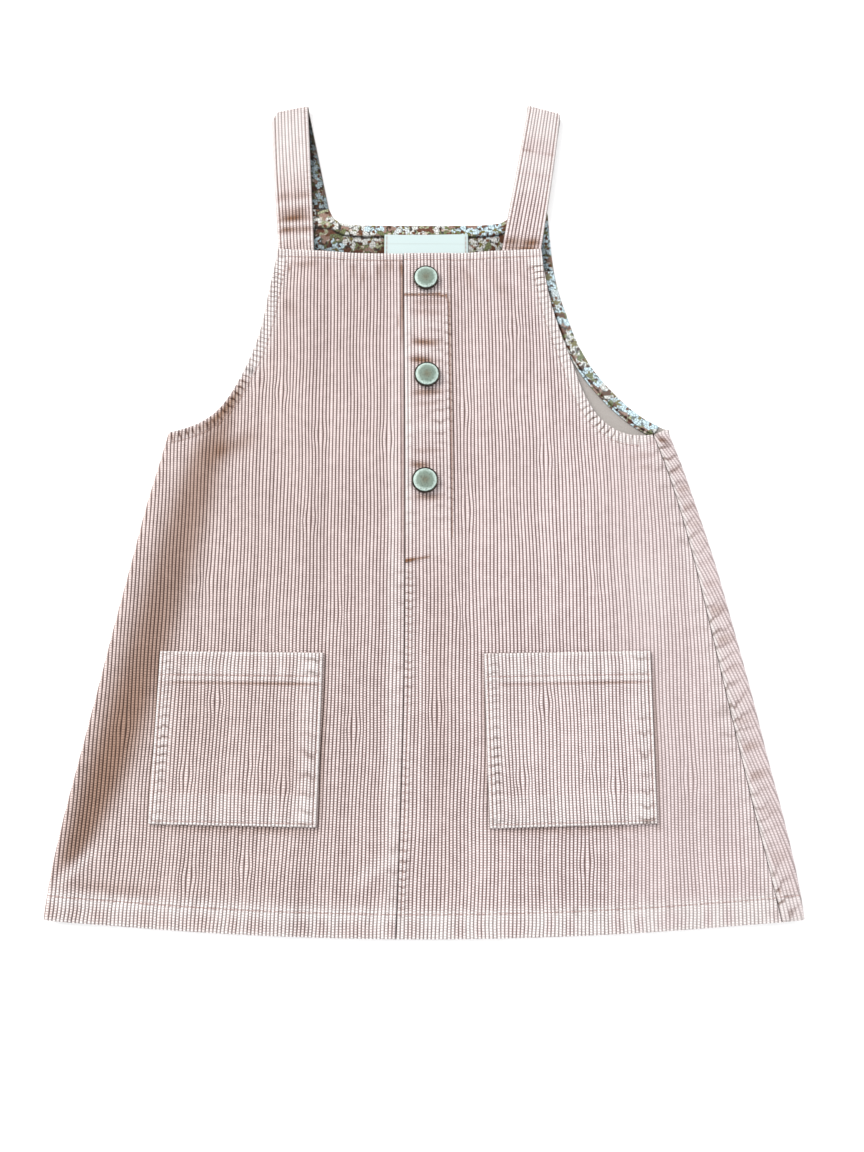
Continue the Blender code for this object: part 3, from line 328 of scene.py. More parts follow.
class Draft:
    """The tube of the dress: its outline, its layers' heights and its two ways of lying."""

    left_roll = 2.6
    right_roll = 2.2
    roll_run = 45.0
    crease_from_left = 12.0
    crease_from_right = 6.0
    skirt_gap = 0.9
    bodice_gap = 1.6
    bib_climb = (375.0, 419.0)
    bodice_climb = (240.0, 290.0)
    label_lift = LABEL_FLOOR + PRINT_WALL + SEAM_GAP - WALL - bodice_gap
    strap_lift = 2 * TURN_HEIGHT + SEAM_GAP - WALL - bodice_gap
    strap_reach = 40.0
    strap_slope = 24.0
    strap_ends = (-87.4, 64.4)
    hem_bow = 11.0
    half_hem = 220.0
    bib_middle = -11.0
    bib_half = 89.0
    bib_dip = 2.4
    ripple = 0.07
    slope_dip = 0.5
    slope_aside = 5.0
    slope_shade_start = (32.0, 16.0)
    slope_shade_stop = (346.0, 18.0)

    def __init__(self) -> None:
        """Draw the outline's tables as smooth curves."""
        self.left_fold, self.right_fold, self.right_seam = curves(SIDES)
        (self.centre_front,) = curves(CENTRE_FRONT)
        self.nap_x, self.nap_width, self.slope_shade_depth = curves(SLOPE_SHADE)

    def hem_height(self, x: Array) -> Array:
        """The hem is a shallow parabola, lowest in the middle."""
        return self.hem_bow * (x / self.half_hem) ** 2

    def left_roll_x(self, up: Array) -> Array:
        """X where the left fold begins to turn under."""
        return self.left_fold(up) + WALL / 2 + self.left_roll

    def right_roll_x(self, up: Array) -> Array:
        """X where the right fold begins to turn under."""
        return self.right_fold(up) - WALL / 2 - self.right_roll

    def front_width(self, up: Array) -> Array:
        """From the centre front to the side seam, along the cloth."""
        return self.right_seam(up) - self.centre_front(up)

    def left_roll_start(self, up: Array) -> Array:
        """From the centre front to the start of the left fold, along the cloth."""
        return self.centre_front(up) - self.left_roll_x(up)

    def left_seam(self, up: Array) -> Array:
        """X of the left side seam, underneath."""
        turned = self.front_width(up) - self.left_roll_start(up) - math.pi * self.left_roll
        return self.left_roll_x(up) + turned

    def right_roll_start(self, up: Array) -> Array:
        """From the centre back to the start of the right fold, along the cloth."""
        return self.right_roll_x(up) - BACK_CENTRE

    def back_width(self, up: Array) -> Array:
        """From the centre back round the right fold to the right side seam, along the cloth."""
        flat = self.right_roll_start(up) + math.pi * self.right_roll
        return flat + self.right_roll_x(up) - self.right_seam(up)

    def left_turned(self, across: Array, up: Array) -> Array:
        """How far a front's cloth has gone round the left fold, 0 to 1."""
        return (-across - self.left_roll_start(up)) / (math.pi * self.left_roll)

    def right_turned(self, across: Array, up: Array) -> Array:
        """How far the back's cloth has gone round the right fold, 0 to 1."""
        return (across - self.right_roll_start(up)) / (math.pi * self.right_roll)

    def slope_shade_share(self, x: Array, up: Array) -> Array:
        """How much painted shade a point gets on the slope beside the left fold, 0 to 1.

        It is a flat-topped ridge, exp(-(distance / half width)^3), that fades at both ends.
        """
        (start, start_run), (stop, stop_run) = self.slope_shade_start, self.slope_shade_stop
        away = np.abs(x - self.nap_x(up)) / self.nap_width(up)
        fade = smooth((up - start) / start_run) * smooth((stop - up) / stop_run)
        return self.slope_shade_depth(up) * np.exp(-(away**3)) * fade

    def creases(self, x: Array, up: Array) -> Array:
        """What the front's soft creases add to its height, with a faint ripple all over."""
        dip = self.slope_dip * self.slope_shade_share(x + self.slope_aside, up)
        return strokes(FRONT_CREASES, x, up) + self.ripple * wander(x / 1.6, up / 1.4, 2.0) - dip

    def upper_layer(self, x: Array, up: Array) -> Array:
        """Height of the middle of the wall that lies on top, above the table.

        The layers' gaps and the lift over the straps' ends add to the wall, and near each fold
        the height rises smoothly to the fold's own.

        Args:
            x: X of the points.
            up: Height of the points above the hem.

        Returns:
            The heights.
        """
        to_bodice = smooth((up - self.bodice_climb[0]) / np.ptp(self.bodice_climb))
        gap = self.skirt_gap + (self.bodice_gap - self.skirt_gap) * to_bodice
        over_straps = sum(
            smooth((self.strap_reach - np.abs(x - middle)) / self.strap_slope)
            for middle in self.strap_ends
        )
        lift = self.label_lift + (self.strap_lift - self.label_lift) * np.minimum(over_straps, 1.0)
        flat = WALL + gap + lift * smooth((up - self.bib_climb[0]) / np.ptp(self.bib_climb))
        from_left = x - self.left_roll_x(up)
        from_right = self.right_roll_x(up) - x
        rise = smooth(1 - from_left / self.roll_run) * (2 * self.left_roll - flat)
        rise = rise + smooth(1 - from_right / self.roll_run) * (2 * self.right_roll - flat)
        settled = smooth(from_left / self.crease_from_left) * smooth(from_right / self.crease_from_right)
        return WALL / 2 + flat + rise + settled * self.creases(x, up)

    def lay_front(self, across: Array, up: Array, lift: Array) -> Array:
        """A point of a front panel: on top, round the left fold, or under it.

        Args:
            across: Distance from the centre front, positive to the right.
            up: Height above the hem.
            lift: Distance off the middle of the wall.

        Returns:
            Points of shape (..., 3).
        """
        turn = self.left_turned(across, up) * math.pi
        angle = np.clip(turn, 0.0, math.pi)
        x_flat = self.centre_front(up) + across
        x_turned = self.left_roll_x(up) + np.maximum(turn - math.pi, 0.0) * self.left_roll
        x = np.where(turn <= 0, x_flat, x_turned - (self.left_roll + lift) * np.sin(angle))
        z_turned = WALL / 2 + self.left_roll + (self.left_roll + lift) * np.cos(angle)
        z = np.where(turn <= 0, self.upper_layer(x_flat, up) + lift, z_turned)
        return np.stack((x, up + 0 * x, z), axis=-1)

    def lay_back(self, across: Array, up: Array, lift: Array) -> Array:
        """A point of the back: on the table, round the right fold, or on top beside the seam.

        Args:
            across: Distance from the centre back, positive to the right.
            up: Height above the hem.
            lift: Distance off the middle of the wall.

        Returns:
            Points of shape (..., 3).
        """
        turn = self.right_turned(across, up) * math.pi
        angle = np.clip(turn, 0.0, math.pi)
        x_under = np.minimum(BACK_CENTRE + across, self.right_roll_x(up))
        x_over = self.right_roll_x(up) - np.maximum(turn - math.pi, 0.0) * self.right_roll
        x = np.where(turn < math.pi, x_under + (self.right_roll + lift) * np.sin(angle), x_over)
        z_turned = WALL / 2 + self.right_roll - (self.right_roll + lift) * np.cos(angle)
        z = np.where(turn < math.pi, z_turned, self.upper_layer(x_over, up) + lift)
        return np.stack((x, up + 0 * x, z), axis=-1)

    def bib_edge(self, across: Array) -> Array:
        """Height of the bib's top edge, which sags between the straps."""
        from_middle = (self.centre_front(BIB_TOP) + across - self.bib_middle) / self.bib_half
        return BIB_TOP - self.bib_dip * (1 - np.clip(from_middle, -1, 1) ** 2)


DRAFT = Draft()


# ---------------- finishes
WHITE = "#ffffff"


def srgb(code: str) -> tuple[float, float, float, float]:
    """A hex colour as linear light: c / 12.92, or ((c + 0.055) / 1.055)^2.4 above 0.04045."""
    channels = [int(code[place : place + 2], 16) / 255 for place in (1, 3, 5)]
    linear = [c / 12.92 if c <= 0.04045 else ((c + 0.055) / 1.055) ** 2.4 for c in channels]
    return (*linear, 1.0)


Socket = bpy.types.NodeSocket
Source = Union[Socket, float, tuple, str]


def add(
    tree: bpy.types.NodeTree,
    kind: str,
    settings: Optional[Mapping[str, object]] = None,
    inputs: Optional[Mapping[Union[int, str], Source]] = None,
) -> bpy.types.Node:
    """Add one node with its settings and its inputs, each a fixed value or a link.

    Args:
        tree: The material's node tree.
        kind: The node's type, without the words ShaderNode.
        settings: Properties of the node.
        inputs: For each input, a socket to link or a value to set.

    Returns:
        The node.
    """
    node = tree.nodes.new(f"ShaderNode{kind}")
    for name, value in (settings or {}).items():
        setattr(node, name, value)
    for name, value in (inputs or {}).items():
        if isinstance(value, Socket):
            tree.links.new(value, node.inputs[name])
        else:
            node.inputs[name].default_value = value
    return node


class Finish:
    """A material under construction: its tree, its shader and the pattern's two coordinates."""

    def __init__(self, name: str, **fixed: Union[float, tuple]) -> None:
        """Start a material.

        Args:
            name: The material's name.
            fixed: Values of the shader's own sockets, with _ for a space in their names.
        """
        self.material = bpy.data.materials.new(name)
        self.material.use_nodes = True
        self.tree = self.material.node_tree
        self.shader = self.tree.nodes["Principled BSDF"]
        for socket, value in fixed.items():
            self.shader.inputs[socket.replace("_", " ")].default_value = value
        pattern = add(self.tree, "UVMap", {"uv_map": "pattern"})
        self.u, self.v, _ = add(self.tree, "SeparateXYZ", inputs={0: pattern.outputs[0]}).outputs
        self.place = add(self.tree, "TexCoord").outputs["Object"]

    def math(self, operation: str, *values: Source) -> Socket:
        """The result of one sum or function of sockets and numbers."""
        return add(self.tree, "Math", {"operation": operation}, dict(enumerate(values))).outputs[0]

    def total(self, first: Source, *others: Source) -> Socket:
        """The sum of all the values."""
        for value in others:
            first = self.math("ADD", first, value)
        return first

    def scaled(self, value: Source, factor: Source, offset: Source = 0.0) -> Socket:
        """A value times a factor, plus an offset."""
        return self.math("MULTIPLY_ADD", value, factor, offset)

    def ramp(self, value: Source, low: float, high: float, at_high: float = 1.0) -> Socket:
        """A smooth step of a value between two of its levels."""
        inputs = {0: value, 1: low, 2: high, 3: 0.0, 4: at_high}
        return add(self.tree, "MapRange", {"interpolation_type": "SMOOTHSTEP"}, inputs).outputs[0]

    def blend(self, share: Source, first: Source, second: Source, how: str = "MIX") -> Socket:
        """Two colours mixed by a share, or by another way of blending; a hex colour turns linear."""
        first, second = (srgb(c) if isinstance(c, str) else c for c in (first, second))
        settings = {"data_type": "RGBA", "blend_type": how}
        return add(self.tree, "Mix", settings, {0: share, 6: first, 7: second}).outputs[2]

    def dimmed(self, colour: Source, share: Source, tint: str) -> Socket:
        """A colour multiplied by a tint, as far as the share says."""
        return self.blend(1.0, colour, self.blend(share, WHITE, tint), "MULTIPLY")

    def point(self, x: Source, y: Source, z: Source = 0.0) -> Socket:
        """Three numbers joined into a vector."""
        return add(self.tree, "CombineXYZ", inputs={0: x, 1: y, 2: z}).outputs[0]

    def noise(self, place: Source, scale: float, detail: float = 2.0) -> Socket:
        """Soft noise from 0 to 1, about 0.5 on average."""
        inputs = {"Vector": place, "Scale": scale, "Detail": detail}
        return add(self.tree, "TexNoise", None, inputs).outputs[0]

    def patches(self, seed: float, scale: float) -> Socket:
        """Soft noise that lies on the pattern, moved by a seed."""
        return self.noise(self.point(self.u, self.v, seed), scale)

    def cells(self, place: Source, randomness: float = 1.0, **settings: str) -> bpy.types.Node:
        """Voronoi cells in the plane, one for each unit of the place."""
        inputs = {"Vector": place, "Scale": 1.0, "Randomness": randomness}
        return add(self.tree, "TexVoronoi", {"voronoi_dimensions": "2D", **settings}, inputs)

    def waves(self, value: Source, pitch: float) -> Socket:
        """A sine from 0 to 1 of a count of wale pitches, with its own pitch in millimetres."""
        turn = self.scaled(value, 2 * math.pi * WALE_PITCH / pitch)
        return self.scaled(self.math("SINE", turn), 0.5, 0.5)

    def tone(self, name: str) -> Socket:
        """One of the tones that the piece carries on its points."""
        return add(self.tree, "Attribute", {"attribute_name": name}).outputs["Fac"]

    def finish(self, colour: Source, relief: Source, depth: float) -> Material:
        """Link the colour, and turn a relief of the given depth in millimetres into bump."""
        bumped = add(self.tree, "Bump", inputs={"Distance": depth * MM, "Height": relief})
        self.tree.links.new(bumped.outputs[0], self.shader.inputs["Normal"])
        self.tree.links.new(colour, self.shader.inputs["Base Color"])
        return self.material


@dataclass(frozen=True)
class Corduroy:
    """Cotton corduroy, woven and then cut: matt ribs of pile, pale on top, with painted shade in the
    grooves.

    Each rib is a row of tufts, real ones about 1 mm apart, drawn a little coarser so that they show, with
    painted shade in the gaps between them.
    The right half is a little paler, because it faces the light.
    """

    # crest and groove, left half then right: the grooves' darkness is painted shade, and the right half is
    # paler as painted light
    crest: tuple[str, str] = ("#e3d2cf", "#ebddde")
    groove: tuple[str, str] = ("#5f4e4b", "#6a5755")
    pale_crest: str = "#ece5e4"
    pale_groove: str = "#7f7473"
    shade: str = "#a6876b"
    crease: str = "#97887f"
    sheen: str = "#fff4f2"
    tuft: float = 1.45
    fibre: float = 0.3
    half_width: float = 0.2

    def material(self) -> Material:
        """Ribs from the pattern's count of wales, crossed by tufts' gaps and by seams' creases, all darkened
        by painted shade, with a painted highlight on the puckers' bulges.

        A rib's side is |2f - 1| of its fraction f, from 0 on the crest to 1 in the groove.

        Returns:
            The material.
        """
        make = Finish("corduroy_pile", Roughness=0.95, Sheen_Weight=0.25, Sheen_Roughness=0.45,
                      Specular_IOR_Level=0.12, Sheen_Tint=srgb(self.sheen))
        fine = make.point(make.scaled(make.u, WALE_PITCH), make.scaled(make.v, 0.6 * WALE_PITCH))
        fibres = make.noise(fine, 1 / self.fibre)
        ragged = make.total(make.u, make.scaled(fibres, 0.22, -0.11))
        side = make.math("ABSOLUTE", make.scaled(make.math("FRACT", ragged), 2.0, -1.0))
        number = add(make.tree, "TexWhiteNoise", {"noise_dimensions": "1D"},
                     {"W": make.math("FLOOR", make.u)}).outputs["Value"]
        row = make.total(make.v, make.scaled(number, 0.45), make.scaled(make.noise(make.place, 330.0), 0.45))
        # painted shade in the gaps between tufts
        gap = make.ramp(make.waves(row, self.tuft), 0.62, 0.1)
        turn = make.total(make.tone("turn"), make.scaled(number, 0.22))
        bulge = make.math("ABSOLUTE", make.math("SINE", make.scaled(turn, math.pi)))
        drawn, soft = make.tone("drawn"), make.tone("soft")
        # painted highlight on the bulges between a seam's creases
        swell = make.math("MULTIPLY", make.ramp(bulge, 0.4, 0.95), drawn)
        pale = make.total(make.tone("pale"), make.scaled(swell, 0.5))
        share = make.total(
            make.math("MAXIMUM", make.ramp(side, 0.32, 0.84), make.scaled(gap, 0.62)),
            make.scaled(fibres, 0.6, -0.3),
            make.scaled(number, 0.14, -0.07),
            make.scaled(make.noise(make.place, 16.0, 3.0), -0.24, 0.12),
            make.scaled(make.noise(make.place, 170.0), -0.3, 0.15),
            make.scaled(pale, -0.08),
        )
        share = add(make.tree, "Clamp", inputs={0: share}).outputs[0]
        share = make.total(make.math("MULTIPLY", share, make.scaled(soft, -0.7, 1.0)),
                           make.scaled(soft, 0.3))
        x = add(make.tree, "SeparateXYZ", inputs={0: make.place}).outputs[0]
        right = make.ramp(x, -self.half_width, self.half_width)
        light = make.blend(pale, make.blend(right, *self.crest), self.pale_crest)
        dark = make.blend(pale, make.blend(right, *self.groove), self.pale_groove)
        # painted shade from the brown tone, which also carries a few dark marks
        colour = make.dimmed(make.blend(share, light, dark), make.tone("brown"), self.shade)
        # painted shade in the creases between a seam's bulges
        crease = make.math("MULTIPLY", make.ramp(bulge, 0.55, 0.15), drawn)
        relief = make.total(make.scaled(gap, -0.6), make.scaled(fibres, 0.5),
                            make.scaled(make.math("MULTIPLY", bulge, drawn), 2.0))
        return make.finish(make.dimmed(colour, crease, self.crease), relief, 0.2)


@dataclass(frozen=True)
class WrongSide:
    """The plain back of corduroy: a fine greyish twill with little floats of thread."""

    light: str = "#c0bdba"
    dark: str = "#8d8580"
    thread: float = 0.7

    def material(self) -> Material:
        """Slanted lines a thread apart, broken by noise."""
        make = Finish("corduroy_wrong_side", Roughness=0.9, Specular_IOR_Level=0.2)
        line = make.waves(make.total(make.u, make.scaled(make.v, 0.8)), self.thread)
        share = make.math("MULTIPLY", line, make.scaled(make.noise(make.place, 1400.0), 1.6))
        return make.finish(make.blend(share, self.dark, self.light), share, 0.15)


@dataclass(frozen=True)
class Motifs:
    """One layer of the print: its spacing in millimetres, its petals, its size in a cell, its colours."""

    pitch: float
    petals: float
    seed: float
    size: float
    veined: float
    colours: tuple[str, str]

    def shapes(self, make: Finish, ragged: float) -> tuple[Socket, Socket, Socket]:
        """Shapes in cells: distance / (1 + 0.3 cos(petals * angle)), with ragged edges.

        Args:
            make: The material under construction.
            ragged: How many times a wale pitch the edges waver.

        Returns:
            The distance from the middle, how near the cut between two petals, a random number.
        """
        scale = WALE_PITCH / self.pitch
        place = make.point(make.scaled(make.u, scale, self.seed),
                           make.scaled(make.v, scale, 0.7 * self.seed))
        cells = make.cells(place, 0.75)
        away = add(make.tree, "VectorMath", {"operation": "SUBTRACT"},
                   {0: place, 1: cells.outputs["Position"]}).outputs[0]
        x, y, _ = add(make.tree, "SeparateXYZ", inputs={0: away}).outputs
        first, second, _ = add(make.tree, "SeparateColor", inputs={0: cells.outputs["Color"]}).outputs
        angle = make.scaled(make.math("ARCTAN2", y, x), self.petals)
        wave = make.math("COSINE", make.total(angle, make.scaled(first, 6.3)))
        away = make.math("DIVIDE", cells.outputs["Distance"], make.scaled(wave, 0.3, 1.0))
        away = make.total(away, make.scaled(make.patches(self.seed, ragged), 0.5, -0.25))
        return away, make.ramp(wave, -0.55, -0.9), second


@dataclass(frozen=True)
class PrintedCotton:
    """Plain-woven cotton, printed all over with veined flowers, leaves and berries on brown.

    Its threads are drawn coarser than the real ones, which are too fine to show.
    """

    ground: str = "#383632"
    rust: str = "#5e3a24"
    leaves: tuple[str, str] = ("#6f7550", "#a3a888")
    small: tuple[str, str] = ("#613a2a", "#8f7468")
    large: tuple[str, str] = ("#c4dce6", "#d2d4d1")
    heart: str = "#6a6238"
    berry: str = "#42291f"
    pale_berry: str = "#b9aba2"
    vein: str = "#302c29"
    worn: str = "#b9b4ab"
    frost: str = "#c4d9de"
    shade: str = "#35322f"
    vein_pitch: float = 1.5
    raggedness: float = 1.1
    thread: float = 0.45

    def veins(self, make: Finish) -> Socket:
        """Fine lines between small uneven cells, real ones finer still."""
        scale = WALE_PITCH / self.vein_pitch
        place = make.point(make.scaled(make.u, scale), make.scaled(make.v, 0.7 * scale))
        edges = make.cells(place, feature="DISTANCE_TO_EDGE")
        return make.ramp(edges.outputs["Distance"], 0.16, 0.02)

    def flowers(self, make: Finish, colour: Socket, veins: Socket) -> Socket:
        """The layers of motifs, one over the other, the large flowers grown where the print is pale.

        Args:
            make: The material under construction.
            colour: The ground's colour.
            veins: How strongly the fine lines show.

        Returns:
            The colour of the whole print.
        """
        bloom = Motifs(14.0, 5.0, 1.1, 0.46, 0.75, self.large)
        layers = (
            Motifs(11.0, 2.0, 3.3, 0.52, 0.85, self.leaves),
            Motifs(4.2, 1.0, 6.4, 0.27, 0.0, (self.berry, self.pale_berry)),
            Motifs(8.2, 3.0, 5.7, 0.36, 0.4, self.small),
            bloom,
            Motifs(6.0, 1.0, 9.2, 0.20, 0.0, (self.berry, self.rust)),
        )
        for layer in layers:
            away, cut, random = layer.shapes(make, self.raggedness)
            tint = make.blend(make.ramp(random, 0.5, 0.56), *layer.colours)
            tint = make.blend(make.scaled(veins, layer.veined), tint, self.vein)
            if layer is bloom:
                away = make.math("DIVIDE", away, make.scaled(make.tone("pale"), 0.6, 1.0))
                cuts = make.math("MULTIPLY", cut, make.ramp(away, 0.1, 0.3))
                tint = make.blend(make.scaled(cuts, 0.85), tint, self.ground)
                tint = make.blend(make.ramp(away, 0.13, 0.09), tint, self.heart)
            colour = make.blend(make.ramp(away, layer.size, layer.size - 0.05), colour, tint)
        return colour

    def material(self) -> Material:
        """Motifs over a mottled ground, then veined patches of one colour, wear and a fine weave.

        Returns:
            The material.
        """
        make = Finish("printed_cotton", Roughness=0.85, Specular_IOR_Level=0.2)
        veins = self.veins(make)
        colour = make.blend(make.ramp(make.patches(3.0, 0.42), 0.57, 0.62), self.ground, self.rust)
        colour = self.flowers(make, colour, veins)
        weave = make.math("MULTIPLY", *(make.waves(way, self.thread) for way in (make.u, make.v)))
        worn = make.scaled(make.noise(make.place, 900.0), 0.4, -0.18)
        colour = make.blend(worn, colour, self.worn)
        for seed, tint in ((8.0, self.rust), (14.0, self.leaves[0])):
            mottled = make.blend(make.scaled(veins, 0.7), tint, self.vein)
            colour = make.blend(make.ramp(make.patches(seed, 0.3), 0.62, 0.65), colour, mottled)
        colour = make.blend(make.scaled(make.tone("pale"), 0.08), colour, self.frost)
        # painted shade from the brown tone
        return make.finish(make.dimmed(colour, make.tone("brown"), self.shade), weave, 0.08)


@dataclass(frozen=True)
class LabelTape:
    """Woven polyester satin tape: off-white with a cool cast and a faint lengthwise grain."""

    light: str = "#c0d0d0"
    dark: str = "#a9babb"
    fold: str = "#7d7b70"
    thread: float = 0.5

    def material(self) -> Material:
        """Fine lines a thread apart along the tape, broken by noise.

        Returns:
            The material.
        """
        make = Finish("label_tape", Roughness=0.5, Sheen_Weight=0.1)
        line = make.waves(make.v, self.thread)
        grain = make.noise(make.point(make.u, make.scaled(make.v, 9.0)), 4.0, 3.0)
        share = make.total(make.scaled(line, 0.4), make.scaled(grain, 0.6))
        colour = make.blend(share, self.dark, self.light)
        # painted shade along the tape's fold
        colour = make.blend(make.scaled(make.tone("brown"), 0.6), colour, self.fold)
        return make.finish(colour, line, 0.05)


@dataclass(frozen=True)
class LacqueredFace:
    """Celadon lacquer over a stamped metal cap: brighter at the edge as a painted highlight, khaki in the
    middle.
    """

    edge: str = "#b3c8c0"
    ring: str = "#6f8276"
    middle: str = "#62604c"
    speck: str = "#49534a"

    def material(self) -> Material:
        """Colour by the distance from the button's middle, with fine specks.

        Returns:
            The material.
        """
        make = Finish("celadon_lacquer", Roughness=0.36, Coat_Weight=0.3, Coat_Roughness=0.2)
        radius = add(make.tree, "VectorMath", {"operation": "LENGTH"},
                     {0: make.point(make.u, make.v)}).outputs["Value"]
        radius = make.total(radius, make.scaled(make.noise(make.place, 420.0), 0.3, -0.15))
        colour = make.blend(make.ramp(radius, -0.1, 0.6), self.middle, self.ring)
        # painted highlight round the edge
        colour = make.blend(make.ramp(radius, 0.55, 0.85), colour, self.edge)
        specks = make.noise(make.place, 1200.0, 3.0)
        colour = make.blend(make.ramp(specks, 0.5, 0.66, 0.7), colour, self.speck)
        return make.finish(colour, specks, 0.05)


@dataclass(frozen=True)
class BurnishedRim:
    """Antiqued gunmetal: a dark plated ring, with bare bright metal where it is rubbed."""

    dark: str = "#39342f"
    bright: str = "#8c857b"

    def material(self) -> Material:
        """Dark metal with paler rubbed patches."""
        make = Finish("gunmetal", Roughness=0.42, Metallic=1.0)
        rubbed = make.noise(make.place, 700.0, 3.0)
        return make.finish(make.blend(make.ramp(rubbed, 0.5, 0.8), self.dark, self.bright), rubbed, 0.04)


@dataclass(frozen=True)
class SewingThread:
    """Spun polyester sewing thread: matt, with its twist showing as dark lines."""

    light: str = "#c3a9a4"
    dark: str = "#86706b"
    twist: float = 1.0

    def material(self) -> Material:
        """Lines of twist along each stitch, broken by noise."""
        make = Finish("sewing_thread", Roughness=0.75, Specular_IOR_Level=0.25)
        line = make.waves(make.v, self.twist)
        share = make.total(make.scaled(line, 0.4), make.scaled(make.noise(make.place, 1200.0), 0.6))
        return make.finish(make.blend(share, self.dark, self.light), line, 0.05)


@dataclass(frozen=True)
class PaleBoard:
    """Smooth painted board: matt white, and bright enough in itself to stay white under the dress."""

    light: str = "#fbfbfb"
    dark: str = "#f4f4f4"
    glow: float = 0.12

    def material(self) -> Material:
        """White with the faintest mottling."""
        make = Finish("pale_board", Roughness=0.9, Emission_Color=srgb(WHITE),
                      Emission_Strength=self.glow)
        cloud = make.noise(make.place, 9.0, 3.0)
        return make.finish(make.blend(cloud, self.dark, self.light), cloud, 0.01)


class Finishes:
    """Every finish of the dress, made once and shared by its pieces."""

    def __init__(self) -> None:
        """Build the materials."""
        self.pile = Corduroy().material()
        self.wrong_side = WrongSide().material()
        self.print = PrintedCotton().material()
        self.tape = LabelTape().material()
        self.lacquer = LacqueredFace().material()
        self.metal = BurnishedRim().material()
        self.thread = SewingThread().material()


# ---------------- meshes
def link(name: str, data: bpy.types.ID) -> Piece:
    """A new object of the scene, at its origin."""
    made = bpy.data.objects.new(name, data)
    bpy.context.scene.collection.objects.link(made)
    return made


def new_piece(name: str, points: Array, faces: list) -> Piece:
    """A smooth-shaded object at the origin, with its faces turned outwards.

    The signed volume, a sixth of the sum of each triangle's triple product, tells whether the
    faces point inwards, and then every face is reversed.

    Args:
        name: The piece's name.
        points: Corners of shape (n, 3) in millimetres, with the second counted from the hem.
        faces: Lists of corner numbers.

    Returns:
        The object.
    """
    placed = (points - (0.0, HEM_Y, 0.0)) * MM
    mesh = bpy.data.meshes.new(name)
    mesh.from_pydata(placed.tolist(), [], faces)
    mesh.update()
    mesh.calc_loop_triangles()
    corners = np.zeros(len(mesh.loop_triangles) * 3, np.int32)
    mesh.loop_triangles.foreach_get("vertices", corners)
    a, b, c = (placed[corners[place::3]] for place in (0, 1, 2))
    if np.einsum("ij,ij->", a, np.cross(b, c)) < 0:
        mesh.flip_normals()
    mesh.shade_smooth()
    return link(name, mesh)


def write_uv(mesh: bpy.types.Mesh, pattern: Array) -> None:
    """Write a UV map named pattern from one pair of numbers for each vertex."""
    corner = np.zeros(len(mesh.loops), np.int32)
    mesh.loops.foreach_get("vertex_index", corner)
    mesh.uv_layers.new(name="pattern").data.foreach_set("uv", pattern[corner].ravel())


def grid_cells(columns: int, rows: int) -> Array:
    """Corner numbers of all cells of a grid whose points run up each column, of shape (n, 4)."""
    first = (np.arange(columns - 1)[:, None] * rows + np.arange(rows - 1)[None, :]).ravel()
    return np.stack((first, first + rows, first + rows + 1, first + 1), axis=1)


def ring_cells(rings: int, sides: int) -> Array:
    """Corner numbers of all cells between closed rings of points.

    Args:
        rings: Number of rings.
        sides: Number of points on each.

    Returns:
        Corner numbers of shape (n, 4).
    """
    ring = np.arange(sides)
    after = (ring + 1) % sides
    lower = (np.arange(rings - 1) * sides)[:, None]
    quads = (lower + ring, lower + after, lower + sides + after, lower + sides + ring)
    return np.stack(quads, axis=-1).reshape(-1, 4)


def cone_cells(first: Array, second: Array, tip: int) -> Array:
    """Corner numbers of the triangles between the sides of a ring and one point."""
    return np.stack((first, second, np.full(len(first), tip)), axis=1)


def spaced_rows(low: Sequence[float], high: Sequence[float], count: int, length: Array) -> Array:
    """Distances up each column: close together at both ends and even in between.

    On a column too short for the close rows, all of them shrink alike.

    Args:
        low: Distances of the close rows from the lower end.
        high: Distances of the close rows from the upper end.
        count: Number of even rows between them.
        length: Length of each column.

    Returns:
        Distances of shape (columns, rows).
    """
    near, far = np.array(low, float), np.array(high, float)[::-1]
    shrink = np.minimum(1.0, length / (1.3 * (near[-1] + far[0])))[:, None]
    bottom = near[None, :] * shrink
    top = length[:, None] - far[None, :] * shrink
    share = np.linspace(0.0, 1.0, count + 2)[1:-1][None, :]
    between = bottom[:, -1:] + share * (top[:, :1] - bottom[:, -1:])
    return np.concatenate((bottom, between, top), axis=1)


WALE_PHASES = {2: (0.0, 0.5), 4: (0.0, 0.24, 0.5, 0.76), 5: (0.0, 0.16, 0.38, 0.62, 0.84)}


def wale_columns(marks: Sequence[float], samples: int) -> tuple[Array, Array]:
    """Columns across a piece: a whole number of wales between marks, and a few on each wale.

    Args:
        marks: Rising places across that have to lie in a groove.
        samples: Columns for each wale.

    Returns:
        The places across, and the count of wales at each.
    """
    places, counts, passed = [], [], 0
    for start, stop in zip(marks[:-1], marks[1:]):
        whole = max(1, round((stop - start) / WALE_PITCH))
        count = (np.arange(whole)[:, None] + np.array(WALE_PHASES[samples])[None, :]).ravel()
        places.append(start + (stop - start) * count / whole)
        counts.append(passed + count)
        passed += whole
    return np.append(np.concatenate(places), marks[-1]), np.append(np.concatenate(counts), passed)


def wale_profile(counts: Array) -> Array:
    """The cross-section of the wales: 1 - |2f - 1|^2.4, raised to 0.8, from groove to groove."""
    fraction = counts - np.floor(counts)
    return (1 - np.abs(2 * fraction - 1) ** 2.4) ** 0.8


def edge_round(distance: Array, radius: float = 0.9) -> Array:
    """How far a skin falls back near an open edge: 1 at the edge, and 0 a radius away."""
    inside = np.clip(1 - distance / radius, 0.0, 1.0)
    return 1 - np.sqrt(1 - inside**2)


